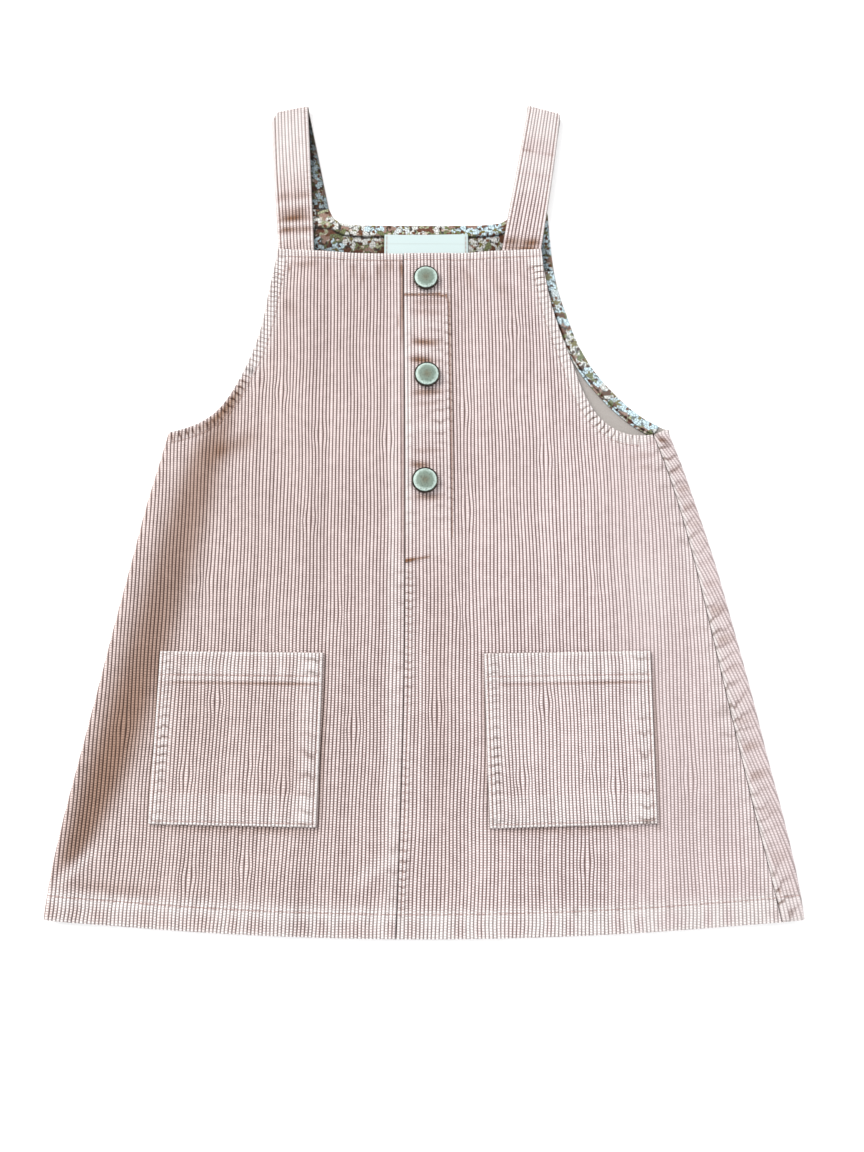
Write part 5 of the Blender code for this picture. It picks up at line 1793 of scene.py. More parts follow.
@dataclass
class Placket(Cloth):
    """The buttoned placket: a doubled band set into the right front, with a rounded foot."""

    node: str = "placket"
    rests_on: tuple[str, ...] = ("front_left", "back")
    low: Sequence[float] = (0.0, 0.2, 0.6, 1.2, 1.8, 2.4, 3.4)
    high: Sequence[float] = (0.0, 0.2, 0.6, 1.2, 2.4, 3.8, 4.8, 5.5, 6.2, 7.4)
    rows: int = 120
    meander: float = 0.3
    seed: float = 3.2
    from_edge: float = 1.9
    cross_up: float = 404.0
    cross_end: float = 29.0
    strip_width: float = 3.2
    strip_ends: tuple[float, float] = (242.0, 400.0)
    thins_below: float = 262.0
    tack_up: float = 222.9
    tack_slope: float = 0.19
    tack_width: float = 18.0

    def marks(self) -> Sequence[float]:
        """From the centre front to its right edge."""
        return (HALF_GAP, PLACKET_WIDTH)

    def bottom(self, across: Array) -> Array:
        """Height of its rounded foot."""
        return np.interp(across, *zip(*PLACKET_FOOT))

    def top(self, across: Array) -> Array:
        """The bib's edge."""
        return DRAFT.bib_edge(across)

    def lay(self, across: Array, up: Array, lift: Array) -> Array:
        """As the front panels lie."""
        return DRAFT.lay_front(across, up, lift)

    @cached_property
    def ends(self) -> tuple[Array, Array]:
        """Its lower and its upper edge."""
        across = np.linspace(*self.marks(), 12)
        return joined(across, self.bottom(across)), joined(across, self.top(across))

    def edges(self, place: Array) -> Sequence[Array]:
        """Its upper and its left edge."""
        upper = self.ends[1]
        return (upper, np.array(((HALF_GAP, PLACKET_FOOT[0][1]), upper[0])))

    def butted(self) -> Sequence[Array]:
        """Its foot and its right edge."""
        lower, upper = self.ends
        return (lower, np.stack((lower[-1], upper[-1])))

    def turned(self, edges: Sequence[Array]) -> Sequence[Array]:
        """Its upper edge."""
        return edges[:1]

    def creases(self, across: Array, up: Array) -> Array:
        """The crosswise creases, above and below nothing."""
        return strokes(PLACKET_CREASES, DRAFT.centre_front(up) + across, up)

    def step(self, across: Array, up: Array) -> Array:
        """Its second layer, the raised strip along its left edge, and its crosswise puckers.

        Args:
            across: First pattern coordinate.
            up: Second pattern coordinate.

        Returns:
            What they add to the height.
        """
        strip = 0.22 * smooth((self.strip_width - across) / 1.2)
        above = 0.25 * smooth((up - self.cross_up) / 0.9)
        fading = smooth((self.thins_below - up) / 20.0) * smooth((across - 6.0) / 8.0)
        rise = PLACKET_RISE * (1 - fading) * smooth((PLACKET_WIDTH - across) / 1.6)
        return rise + strip + above + self.creases(across, up)

    def tone(self, across: Array, up: Array) -> Array:
        """Painted shade in puckers and along its seams, brown at the bar tack; painted highlight on ridges
        and the strip.

        Args:
            across: First pattern coordinate.
            up: Second pattern coordinate.

        Returns:
            How much browner the cloth is, or paler below nothing.
        """
        creases = self.creases(across, up)
        puckers = -3.0 * np.minimum(creases, 0.0)
        raised = 1.6 * np.maximum(creases, 0.0)
        low, high = self.strip_ends
        strip = smooth((self.strip_width + 0.4 - across) / 1.0) * smooth((up - low + 4.0) / 30.0)
        strip = 0.75 * strip * (0.5 + 0.5 * smooth((high - up) / 10.0))
        bar = 0.9 + 0.9 * smooth((7.0 - across) / 3.0)
        tack = bump(up - self.tack_up - self.tack_slope * across, 1.1)
        tack = bar * tack * smooth((self.tack_width - across) / 4.0)
        cross = 1.4 * bump(up - self.cross_up + 0.5, 0.9) * (across < self.cross_end)
        ridge = 0.5 * bump(up - self.cross_up - 1.8, 1.2)
        side = 0.7 * bump(across - PLACKET_WIDTH, 1.4) * smooth((up - 232) / 60)
        # puckers, cross and side are painted shade; raised, strip and ridge are painted highlight
        return puckers + cross + side + tack - raised - strip - ridge - 0.12

    def stitching(self) -> Sequence[Stitching]:
        """The seam up its right side and across, its creases, the bib's line and the strip's.

        Returns:
            The sewn lines.
        """
        right, turn_up, cross_up = PLACKET_WIDTH - self.from_edge, self.cross_up - 7.0, self.cross_up
        seam = joined(right, np.array((238.0, 300.0, 360.0, turn_up)))
        turn = through(((right, turn_up), (28.4, cross_up - 2.0), (24.0, cross_up + 0.2)), 8)
        cross = np.array(((12.0, cross_up - 0.3), (0.6, cross_up - 0.8)))
        return (
            Stitching(np.concatenate((seam, turn[1:], cross)), pucker=0.16, period=6.2, spread=3.4,
                      crease=0.5, pale=0.1, line_shade=1.3, seed=9.0),
            creased(seam - (7.0, 0.0), pucker=0.1, period=6.6, spread=5.0, pale=0.0, crease=0.35,
                    seed=9.4),
            Stitching(self.ends[1] - (0.0, STITCH_FROM_BIB), pucker=0.08, seed=10.0),
            creased(joined(self.strip_width, np.array(self.strip_ends)), groove=0.22, pucker=0.08,
                    line_shade=0.15),
        )


BACK_STITCHES = {"groove": 0.25, "pucker": 0.06}
WRAP_TONES = (
    # x0, up0, x1, up1, half width, browner above nothing and paler below it: painted shade, painted glints,
    # and a dark hook and thread end
    (146, 302.5, 155, 301.5, 1.8, 1.1), (138, 309, 158, 308, 2.2, -1.2),
    (203, 29.5, 206.5, 26, 0.8, 0.9), (206.5, 26, 204.5, 23.5, 0.8, 0.9),
    (198, 30, 201.5, 24, 1.2, -0.8), (207.2, 13, 207, 10.2, 0.5, 1),
)


@dataclass
class Back(Hemmed):
    """The back: flat on the table, and wrapped over the right fold to the side seam."""

    node: str = "back"
    rests_on: tuple[str, ...] = ("board",)
    low: Sequence[float] = (0.0, 0.3, 1.0, 3.0, 7.0, 11.0, 12.9, 13.5, 14.1, 14.9, 17.0)
    high: Sequence[float] = (0.0, 0.3, 1.0, 2.4, 4.6, 5.7, 6.4, 7.2, 8.2, 10.0)
    rows: int = 76
    samples: int = 4
    seed: float = 4.4
    hem_points: int = 120
    left_points: int = 34
    neck_hem: float = 6.0
    wrap_slant: float = 0.27
    wrap_vanish: float = 611.0
    wrap_shrinking: float = 0.036
    wrap_above: float = 26.0

    def marks(self) -> Sequence[float]:
        """From the left side seam round to the right one."""
        first = float(DRAFT.left_seam(HEM_LEVEL)) - BACK_CENTRE + SEAM_GAP
        return (first, float(DRAFT.back_width(HEM_LEVEL)) - SEAM_GAP)

    @cached_property
    def edge(self) -> Array:
        """Left seam, armhole, neckline, armhole, fold and right seam, from left to right.

        Returns:
            The line in the pattern, of shape (n, 2).
        """
        up = np.linspace(6.0, UNDERARM - 1.5, self.left_points)
        left_seam = joined(DRAFT.left_seam(up) - BACK_CENTRE + SEAM_GAP, up)
        start = float(DRAFT.right_roll_start(UNDERARM))
        end = start + math.pi * DRAFT.right_roll
        fold = np.array(((start, UNDERARM + 5.6), (end, UNDERARM + 3.2)))
        up = np.linspace(UNDERARM, 0.0, SEAM_POINTS)
        right_seam = joined(DRAFT.back_width(up) - SEAM_GAP, up)
        left = through(BACK_LEFT_ARMHOLE)[::-1] * MIRROR
        right = through(BACK_RIGHT_ARMHOLE)
        neck = mirrored(through(NECKLINE, NECK_POINTS))
        return np.concatenate((left_seam, left, neck, right, fold, right_seam))

    def top(self, across: Array) -> Array:
        """The seams, the armholes and the neckline."""
        return np.interp(across, self.edge[:, 0], self.edge[:, 1])

    def lay(self, across: Array, up: Array, lift: Array) -> Array:
        """On the table, round the right fold, or on top."""
        return DRAFT.lay_back(across, up, lift)

    def turned(self, edges: Sequence[Array]) -> Sequence[Array]:
        """The hem, the armholes and the neckline."""
        return (self.hem_line(), self.edge[self.left_points : -SEAM_POINTS])

    def relief(self, across: Array, up: Array, height: Array) -> Array:
        """The wales, sunk so that their crests are level with the table underneath."""
        return height - WALE_RISE * smooth(1 - DRAFT.right_turned(across, up))

    def phase(self, up: Array) -> Array:
        """Phase of the creases beside the right seam, which crowd together on the way up.

        Their pitch is 22 mm at the hem, shrinks by 0.036 mm in every millimetre and would vanish
        611 mm up, so the phase is -2 pi * log(1 - up / 611) / 0.036, and it sways a little.

        Args:
            up: Height above the hem.

        Returns:
            The phase.
        """
        crowded = -2 * np.pi * np.log(1 - up / self.wrap_vanish) / self.wrap_shrinking
        return crowded + 1.3 * np.sin(up / 19.0)

    def step(self, across: Array, up: Array) -> Array:
        """The turned hem's own thickness and the seam's creases, where the back lies on top.

        Args:
            across: First pattern coordinate.
            up: Second pattern coordinate.

        Returns:
            What they add to the height.
        """
        away = DRAFT.back_width(up) - across
        creases = -0.28 * np.sin(self.phase(up)) * np.exp(-away / 9.0) * smooth(away / 2.0)
        lying = smooth(2 * DRAFT.right_turned(across, up) - 1)
        hem = HEM_RISE * smooth(self.hem_inside(across, up) + 0.5)
        return lying * (hem + creases * smooth((up - 20.0) / 8.0))

    def tone(self, across: Array, up: Array) -> Array:
        """Pale along the hem and beside the right seam, with slanted blobs of painted shade in its creases.

        Args:
            across: First pattern coordinate.
            up: Second pattern coordinate.

        Returns:
            How much browner the cloth is, or paler below nothing.
        """
        away = DRAFT.back_width(up) - across
        drawn_in = smooth(1.4 * np.sin(self.phase(up - self.wrap_slant * away)) - 0.3)
        uneven = 0.4 + 0.2 * np.sin(up / 13.0)
        # painted shade in the creases beside the right seam
        blobs = uneven * drawn_in * bump(away - 4.0, 8.0) * (up > self.wrap_above)
        beside = 0.8 * bump(away - 0.8, 1.1) + 0.22 * bump(away, 9.0)
        marks = strokes(WRAP_TONES, DRAFT.right_seam(up) + away, up)
        wrap = blobs * smooth((away - 0.8) / 1.2) + marks - beside
        hem = 0.6 * self.hem_pale(across, up, pitch=2.7, sway=1.9, run=8.1)
        return -hem + smooth(DRAFT.right_turned(across, up)) * wrap

    def soft(self, across: Array, up: Array) -> Array:
        """Little contrast between crest and groove on the slope down to the right fold."""
        return 0.75 * smooth(DRAFT.right_turned(across, up))

    def stitching(self) -> Sequence[Stitching]:
        """The hem, the creases of the right seam, the neckline and the armholes.

        Returns:
            The sewn lines.
        """
        up = np.linspace(300.0, 16.0, 50)
        neck = mirrored(through(NECKLINE, NECK_POINTS))
        right = moved(through(BACK_RIGHT_ARMHOLE), -STITCH_FROM_ARMHOLE)
        left = moved(through(BACK_LEFT_ARMHOLE) * MIRROR, STITCH_FROM_ARMHOLE)
        return (
            Stitching(self.hem_line(STITCH_FROM_HEM), groove=0.25, pucker=0.1, seed=11.0),
            creased(joined(DRAFT.back_width(up) + 1.0, up), pucker=0.1, spread=11.0, period=8.2,
                    pale=0.0, crease=0.6, slant=0.76, seed=0.4),
            Stitching(moved(neck, -self.neck_hem), seed=12.0, **BACK_STITCHES),
            Stitching(right, seed=13.0, **BACK_STITCHES),
            Stitching(left, seed=14.0, **BACK_STITCHES),
        )


@dataclass
class PlainWoven(Cloth):
    """What the pieces without wales share: a thinner wall and no pale edges of wear and painted highlight.
    """

    wall: float = PRINT_WALL
    rise: float = 0.0
    meander: float = 0.0
    edge_pale: float = 0.0


@dataclass
class Printed(PlainWoven):
    """What the printed pieces share: the print shows on both sides."""

    slot: Slot = Slot.PRINT
    samples: int = 2
    skins: tuple[str, str] = ("print", "print")


@dataclass
class NeckFacing(Printed):
    """The facing inside the back's neckline, with a turned strip along the edge."""

    node: str = "facing_neck"
    rests_on: tuple[str, ...] = ("back",)
    start: float = FACING_END
    high: Sequence[float] = (0.0, 0.2, 0.6, 1.2, 3.0, 5.0, 7.0, 8.0, 8.6, 9.2, 9.8, 10.8)
    rows: int = 24
    strip: float = 9.0
    strip_top: float = 464.0

    @cached_property
    def upper(self) -> Array:
        """The armhole, neckline and armhole again, a little inside the back's edge."""
        neck = mirrored(through(NECKLINE, NECK_POINTS) - (0.0, TRIM))
        right = through(BACK_RIGHT_ARMHOLE) - TRIM
        left = through(BACK_LEFT_ARMHOLE) - TRIM
        edge = np.concatenate((left[::-1] * MIRROR, neck, right))
        return edge[edge[:, 1] > FACING_END + 0.6]

    def marks(self) -> Sequence[float]:
        """From armhole to armhole."""
        return (float(self.upper[0, 0]), float(self.upper[-1, 0]))

    def top(self, across: Array) -> Array:
        """The armholes and the neckline."""
        return np.interp(across, self.upper[:, 0], self.upper[:, 1])

    def lay(self, across: Array, up: Array, lift: Array) -> Array:
        """Flat on the back."""
        return placed(BACK_CENTRE + across, up, FACING_FLOOR + PRINT_WALL / 2 + lift)

    def below(self, across: Array, up: Array) -> Array:
        """How far a point lies below the neckline."""
        return np.minimum(self.top(across), self.strip_top) - up

    def step(self, across: Array, up: Array) -> Array:
        """The turned strip, over a faint waviness."""
        strip = smooth((self.strip - self.below(across, up)) / 0.8)
        return 0.2 * strip + 0.05 * wander(across, up, 3.0)

    def tone(self, across: Array, up: Array) -> Array:
        """A painted shadow line under the strip, and painted shade that deepens below it."""
        below = self.below(across, up)
        shade = 0.3 * smooth((below - self.strip) / 4.0)
        return bump(below - self.strip, 1.1) + shade + 0.3 * smooth((below - 16.0) / 8.0)


@dataclass
class ArmholeFacing(Printed):
    """The strip of print along the inside of the back's right armhole.

    Its pattern runs inwards from the armhole's edge, and along it.
    """

    node: str = "facing_armhole"
    rests_on: tuple[str, ...] = ("back",)
    turned_in: float = 3.0
    rows: int = 90
    samples: int = 4
    left: float = TRIM
    right: float = 9.0
    fold: float = 7.4

    @cached_property
    def path(self) -> tuple[Array, Array, Array]:
        """The armhole below the neck facing, the travel along it and its direction."""
        line = through(BACK_RIGHT_ARMHOLE, 120)
        line = line[line[:, 1] < FACING_END - SEAM_GAP]
        along = np.gradient(line, axis=0)
        return line, travels(line), along / np.linalg.norm(along, axis=1)[:, None]

    def top(self, across: Array) -> Array:
        """The whole length of the armhole."""
        return np.full(np.shape(across), self.path[1][-1])

    def lay(self, across: Array, up: Array, lift: Array) -> Array:
        """Flat on the back, square to the armhole's edge and clear of the neck facing."""
        line, travel, along = self.path
        x, height, east, north = (np.interp(up, travel, column) for column in (*line.T, *along.T))
        height = np.minimum(height - across * east, FACING_END - SEAM_GAP)
        return placed(BACK_CENTRE + (x + across * north), height, FACING_FLOOR + PRINT_WALL / 2 + lift)

    def step(self, across: Array, up: Array) -> Array:
        """The turned edge's second layer."""
        return 0.12 * smooth((self.fold - across) / 0.5)

    def tone(self, across: Array, up: Array) -> Array:
        """Pale, with a painted shadow line along the fold."""
        return 1.8 * bump(across - self.fold, 0.8) - 0.9


@dataclass
class Label(PlainWoven):
    """A blank woven label, sewn down at both ends under the neckline."""

    node: str = "label"
    slot: Slot = Slot.TAPE
    skins: tuple[str, str] = ("tape", "tape")
    rests_on: tuple[str, ...] = ("facing_neck",)
    rows: int = 26
    samples: int = 4
    left: float = -28.0
    right: float = 28.6
    start: float = 427.0
    high_edge: float = 449.8
    fold: float = 442.6
    from_end: float = 1.6

    def top(self, across: Array) -> Array:
        """Its upper edge, a little wavy."""
        return self.high_edge - 0.25 * np.sin((across - self.left) / 12.0)

    def lay(self, across: Array, up: Array, lift: Array) -> Array:
        """Flat on the facing."""
        return placed(across, up, LABEL_FLOOR + PRINT_WALL / 2 + lift)

    def step(self, across: Array, up: Array) -> Array:
        """A faint waviness."""
        return 0.1 * np.sin(across / 9.0 + up / 13.0) - 0.06

    def tone(self, across: Array, up: Array) -> Array:
        """A grey line of painted shade where the tape was folded."""
        return 0.35 * bump(up - self.fold, 0.35)

    def stitching(self) -> Sequence[Stitching]:
        """One line at each end."""
        ends = np.array((self.start + 1.0, self.high_edge - 1.2))
        places = (self.left + self.from_end, self.right - self.from_end)
        return [Stitching(joined(x, ends), groove=0.15, pucker=0.03, pale=0.0) for x in places]


# ---------------- the straps
STRAP_WIDTH = 23.2


@dataclass(frozen=True)
class StrapPlan:
    """How a strap runs up from the back, over the shoulder and down to the bib.

    Back, top, bib and end are X of its middle at its seam, its fold, the bib's edge and its end;
    the fold has a height and a slant, and the widths are those of the front run.
    """

    back: float
    top: float
    bib: float
    end: float
    slant: float
    bib_width: float
    mid_width: float
    radius: float
    fold: float = 545.6
    top_width: float = STRAP_WIDTH
    aside: float = 1.8
    corner: float = 0.0

    @cached_property
    def front_run(self) -> list[Curve]:
        """The middle and the width of the front run, by height."""
        halfway = 0.42 * self.bib + 0.58 * self.top
        return curves((
            (STRAP_END, self.end, self.bib_width),
            (BIB_TOP, self.bib, self.bib_width),
            (500.0, halfway, self.mid_width),
            (550.0, self.top, self.top_width),
        ))

    def turns(self) -> tuple[float, float, float]:
        """Distances along at which the turn begins, the turn ends and the strap ends."""
        begins = self.fold - STRAP_SEAM
        ends = begins + math.pi * self.radius
        return begins, ends, ends + self.fold - STRAP_END

    def lay(self, across: Array, along: Array, lift: Array) -> Array:
        """A point of the strap, with its right side down on the back run and up on the front run.

        Args:
            across: Distance from the strap's middle.
            along: Distance from its seam with the back.
            lift: Distance off the middle of the wall.

        Returns:
            Points of shape (..., 3).
        """
        begins, ends, whole = self.turns()
        rounded = self.corner * smooth((-across - 7.6) / 4.0)
        fold = self.fold + self.slant * across - rounded - (TURN_HEIGHT - WALL / 2)
        angle = np.clip((along - begins) / self.radius, 0.0, math.pi)
        rising = np.clip(along / begins, 0.0, 1.0)
        falling = np.clip((along - ends) / (whole - ends), 0.0, 1.0)
        up_back = STRAP_SEAM + SEAM_GAP + rising * (fold - STRAP_SEAM - SEAM_GAP)
        up_front = fold + falling * (STRAP_END - fold)
        up = np.where(along < ends, up_back, up_front) + (self.radius + lift) * np.sin(angle)
        back_x = self.back + (self.top + self.aside - self.back) * rising + across
        middle, width = (curve(up_front) for curve in self.front_run)
        front_x = middle + across * width / STRAP_WIDTH
        x = np.where(along < begins, back_x, back_x + smooth(angle / math.pi) * (front_x - back_x))
        x = np.where(along < ends, x, front_x)
        return placed(x, up, TURN_HEIGHT - (self.radius + lift) * np.cos(angle))

    def rows(self) -> Array:
        """Distances along: close together round the turn and at both ends.

        Returns:
            The distances, rising.
        """
        begins, ends, whole = self.turns()
        from_end = np.array((13.4, 12.0, 8.0, 4.0, 1.0, 0.3, 0.0))
        return np.concatenate((
            (0.0, 0.3, 1.0),
            np.linspace(2.2, begins - 1.5, 34),
            np.linspace(begins, ends, 15),
            np.linspace(ends + 1.0, whole - 14.6, 74),
            whole - from_end,
        ))


STRAPS = {
    "left": dict(back=-78.0, top=-95.4, bib=-87.4, end=-86.8, slant=0.26, bib_width=24.2,
                 mid_width=25.4, top_width=25.4, corner=4.6),
    "right": dict(back=71.6, top=83.4, bib=64.4, end=62.2, slant=-0.29, bib_width=26.6,
                  mid_width=25.2, aside=-0.8),
}
STRAP_BANDS = {
    # up, half width, rise, browner above nothing and paler below it: painted shade in the creases, painted
    # highlight between them
    "left": ((476.4, 3.2, -0.2, 0.35), (470.6, 2.0, 0.1, -0.3), (464.6, 2.4, -0.2, 0.3),
             (459.2, 3.2, -0.3, 0.65), (454.6, 1.6, 0.1, -0.4), (450.4, 2.4, -0.25, 0.55),
             (444.4, 2.4, 0.15, -0.4), (500.0, 16.0, 0.1, -0.2), (530.0, 16.0, 0.0, -0.2)),
    "right": ((515.0, 7.0, -0.2, 0.35), (510.6, 0.9, -0.2, 0.4), (492.5, 0.9, -0.2, 0.4),
              (500.5, 6.0, 0.15, -0.2), (484.0, 7.0, 0.1, -0.2), (440.5, 4.0, -0.25, 0.6),
              (436.0, 1.0, -0.2, 0.5), (532.0, 9.0, 0.0, -0.1), (462.0, 9.0, 0.1, 0.0)),
}
RISE, BROWNER = 2, 3


class Shouldered:
    """What a strap and its lining share: a band that follows the plan of its side."""

    @cached_property
    def plan(self) -> StrapPlan:
        """How the band lies, with its own radius in the turn."""
        return StrapPlan(**STRAPS[self.side], radius=self.radius)

    def marks(self) -> Sequence[float]:
        """Its two long edges."""
        return (-self.half, self.half)

    def top(self, across: Array) -> Array:
        """Its whole length."""
        return np.full(np.shape(across), self.plan.turns()[2])

    def lay(self, across: Array, up: Array, lift: Array) -> Array:
        """Up the back, over the shoulder and down to the bib."""
        return self.plan.lay(across, up, lift)

    def levels(self, place: Array, length: Array) -> Array:
        """The plan's rows on every column."""
        return np.tile(self.plan.rows(), (len(place), 1))


@dataclass
class Strap(Shouldered, Cloth):
    """One strap of corduroy, from the back over the shoulder to behind the bib."""

    side: str = "left"
    half: float = STRAP_WIDTH / 2
    radius: float = TURN_HEIGHT - WALL / 2
    meander: float = 0.25
    seed: float = 5.0
    stitch_in: float = 2.0
    band_shift: float = 2.2
    worn_run: float = 80.0

    def shown(self, along: Array) -> Array:
        """One where the strap shows, and nothing where it lies behind the bib."""
        return smooth((self.plan.turns()[2] - (BIB_TOP - STRAP_END) - 0.6 - along) / 3.0)

    def on_top(self, along: Array) -> Array:
        """Nothing on the back run, and one on the front run."""
        begins, ends, _ = self.plan.turns()
        return smooth((along - begins) / (ends - begins))

    def bands(self, along: Array, column: int) -> Array:
        """What the crosswise bands of the front run add, by one column of their table."""
        ends = self.plan.turns()[1]
        up = self.plan.fold - (along - ends) - self.band_shift
        rows = (band[column] * bump(up - band[0], band[1]) for band in STRAP_BANDS[self.side])
        return sum(rows) * (along > ends)

    def relief(self, across: Array, up: Array, height: Array) -> Array:
        """The wales, sunk on the back run and flat behind the bib."""
        on_top = self.on_top(up)
        return (height - WALE_RISE * (1 - on_top)) * (1 - (1 - self.shown(up)) * on_top)

    def step(self, across: Array, up: Array) -> Array:
        """The crosswise bands, uneven over the width."""
        return self.bands(up, RISE) * (1 + 0.3 * np.sin(across / 4.0)) * self.shown(up)

    def tone(self, across: Array, up: Array) -> Array:
        """Painted shade and highlight in the crosswise bands, and paler towards the shoulder."""
        uneven = 1.4 + 0.35 * np.sin(across / 2.7 + up / 5.0)
        worn = 0.05 + 0.65 * smooth((self.plan.turns()[1] + self.worn_run - up) / 60.0)
        return self.bands(up, BROWNER) * uneven - worn * self.on_top(up)

    def soft(self, across: Array, up: Array) -> Array:
        """Less contrast between crest and groove towards the shoulder."""
        return 0.45 * smooth((self.plan.turns()[1] + self.worn_run - up) / 50.0)

    def stitching(self) -> Sequence[Stitching]:
        """One line along each edge."""
        run = np.linspace(1.0, self.plan.turns()[2] - 15.0, 60)
        look = dict(groove=0.22, pucker=0.08, spread=2.0, period=5.0, pale=0.25)
        return [Stitching(joined(sign * (self.half - self.stitch_in), run), seed=15.0 + sign, **look)
                for sign in (-1, 1)]


@dataclass
class StrapLining(Shouldered, Printed):
    """The printed lining on the inside of one strap, a little narrower than the strap."""

    side: str = "left"
    half: float = STRAP_WIDTH / 2 - TRIM
    radius: float = TURN_HEIGHT - FACING_FLOOR - PRINT_WALL / 2

    def tone(self, across: Array, up: Array) -> Array:
        """Shaded towards the turn."""
        begins, ends, _ = self.plan.turns()
        return (0.6 + 0.35 * smooth((up - begins + 60.0) / 50.0)) * smooth((ends - up) / 4.0)


# ---------------- the pockets and buttons
POCKETS = {
    # corners as X and up, from the top left one clockwise
    "left": ((-161.8, 166.3), (-62.3, 165.3), (-63.8, 62.3), (-162.8, 64.3)),
    "right": ((35.8, 164.8), (137.7, 166.4), (136.8, 64.5), (38.0, 61.8)),
}
# the right pocket is paler as painted light, facing the light
POCKET_PALE = {"left": 0.0, "right": 0.14}
POCKET_SEED = {"left": 20.0, "right": 26.0}


@dataclass
class Pocket(Cloth):
    """One patch pocket, laid on the front's wales, open at its doubled upper hem."""

    low: Sequence[float] = (0.0, 0.2, 0.6, 1.2, 1.6, 2.0, 2.5, 3.4, 6.0, 11.0, 16.0, 17.6, 18.3, 19.4)
    high: Sequence[float] = (0.0, 0.2, 0.6, 1.2, 3.0, 6.0, 10.0, 12.6, 13.6, 14.2, 14.8, 15.6, 16.6,
                             17.6, 18.4, 19.2, 20.4)
    rows: int = 62
    meander: float = 0.6
    spreads: Rows = ((36, 72, 3.8, 6, 2), (21, 28, 3.6, 6, 1.8), (78, 22, 3.6, 6, 1.8),
                     (62, 34, 3.8, 6, -1.4))
    edge_pale: float = 0.95
    side: str = "left"
    hem_stitch: float = 14.3
    hem_end: float = 18.3
    turn_in: float = 18.5
    from_edge: float = 2.0
    doubled: float = 0.3
    seat: float = WALE_RISE + SEAM_GAP + 0.1
    puff: float = 0.3
    mouth: float = 30.0

    def __post_init__(self) -> None:
        """Measure the sides of its place on the front."""
        self.seed = POCKET_SEED[self.side]
        self.corners = np.array(POCKETS[self.side])
        top_left, top_right, _, bottom_left = self.corners
        self.width = float(np.linalg.norm(top_right - top_left))
        self.height = float(np.linalg.norm(top_left - bottom_left))

    def marks(self) -> Sequence[float]:
        """From its left edge to its right one."""
        return (0.0, self.width)

    def top(self, across: Array) -> Array:
        """Its height."""
        return np.full(np.shape(across), self.height)

    def lay(self, across: Array, up: Array, lift: Array) -> Array:
        """Spread between its four corners, over the front's wales, and puffed at its mouth.

        Args:
            across: Distance from its left edge.
            up: Distance from its lower edge.
            lift: Distance off the middle of its wall.

        Returns:
            Points of shape (..., 3).
        """
        top_left, top_right, bottom_right, bottom_left = self.corners
        part, rise = (across / self.width)[..., None], (up / self.height)[..., None]
        lower = bottom_left + part * (bottom_right - bottom_left)
        upper = top_left + part * (top_right - top_left)
        x, height = np.moveaxis(lower + rise * (upper - lower), -1, 0)
        inside = np.clip(across * (self.width - across) / (self.width / 2) ** 2, 0, 1)
        mouth = 0.4 + 0.6 * smooth((up - self.height + self.mouth) / self.mouth)
        puff = self.puff * inside * (smooth(up / self.mouth) * mouth)
        z = DRAFT.upper_layer(x, height) + WALL / 2 + self.seat + WALL / 2 + lift + puff
        return placed(x, height, z)

    def step(self, across: Array, up: Array) -> Array:
        """The doubled hem with its ridge, and the turned-in lower edge."""
        above = up - self.height + self.hem_end
        hem = self.doubled * smooth(above / 0.9) + 0.16 * bump(above - 1.6, 1.4)
        return hem + self.doubled * smooth((self.turn_in - up) / 0.9)

    def tone(self, across: Array, up: Array) -> Array:
        """Pale streaks on hem and foot, a painted shadow line under the hem, and a right pocket paler as
        painted light.

        Args:
            across: First pattern coordinate.
            up: Second pattern coordinate.

        Returns:
            How much browner the cloth is, or paler below nothing.
        """
        above = up - self.height + self.hem_end
        streaks = 0.65 + 0.35 * np.sin(across / 2.3 + 1.8 * np.sin(across / 6.1 + self.seed))
        hem = 0.45 * smooth(above / 1.2) * streaks
        foot = 0.45 * smooth((self.turn_in - up) / 1.2) * streaks
        # painted shadow under the hem's lower edge
        line = (0.5 + 0.4 * smooth(across / self.width)) * bump(above + 0.7, 0.8)
        mottled = 0.08 * wander(across, up, self.seed)
        return line - hem - foot + mottled - POCKET_PALE[self.side]

    def stitching(self) -> Sequence[Stitching]:
        """Left edge, foot, right edge and hem, and the creases beside both edges.

        Returns:
            The sewn lines.
        """
        inner, width = self.from_edge, self.width
        down = np.linspace(self.height - 0.5, inner, 40)
        left, right = joined(inner, down), joined(width - inner, down[::-1])
        foot = joined(np.linspace(inner, width - inner, 40), inner)
        hem = joined(np.linspace(1.0, width - 1.0, 40), self.height - self.hem_stitch)
        edge = dict(groove=0.3, pucker=0.1, spread=2.0, pale=0.2, crease=0.0)
        seed = self.seed
        return (
            Stitching(left, seed=seed, **edge),
            Stitching(foot, groove=0.3, pucker=0.16, spread=2.6, period=5.0, pale=0.3, seed=seed + 1),
            Stitching(right, seed=seed + 2, **edge),
            Stitching(hem, groove=0.34, pucker=0.24, spread=4.0, period=9.0, pale=0.25, seed=seed + 3),
            creased(left + (3.2, 0.0), pucker=0.2, spread=3.8, period=5.2, pale=0.3, crease=0.5,
                    seed=seed + 4),
            creased(right - (3.8, 0.0), pucker=0.3, spread=5.2, period=10.4, pale=0.3, crease=0.55,
                    seed=seed + 5),
        )


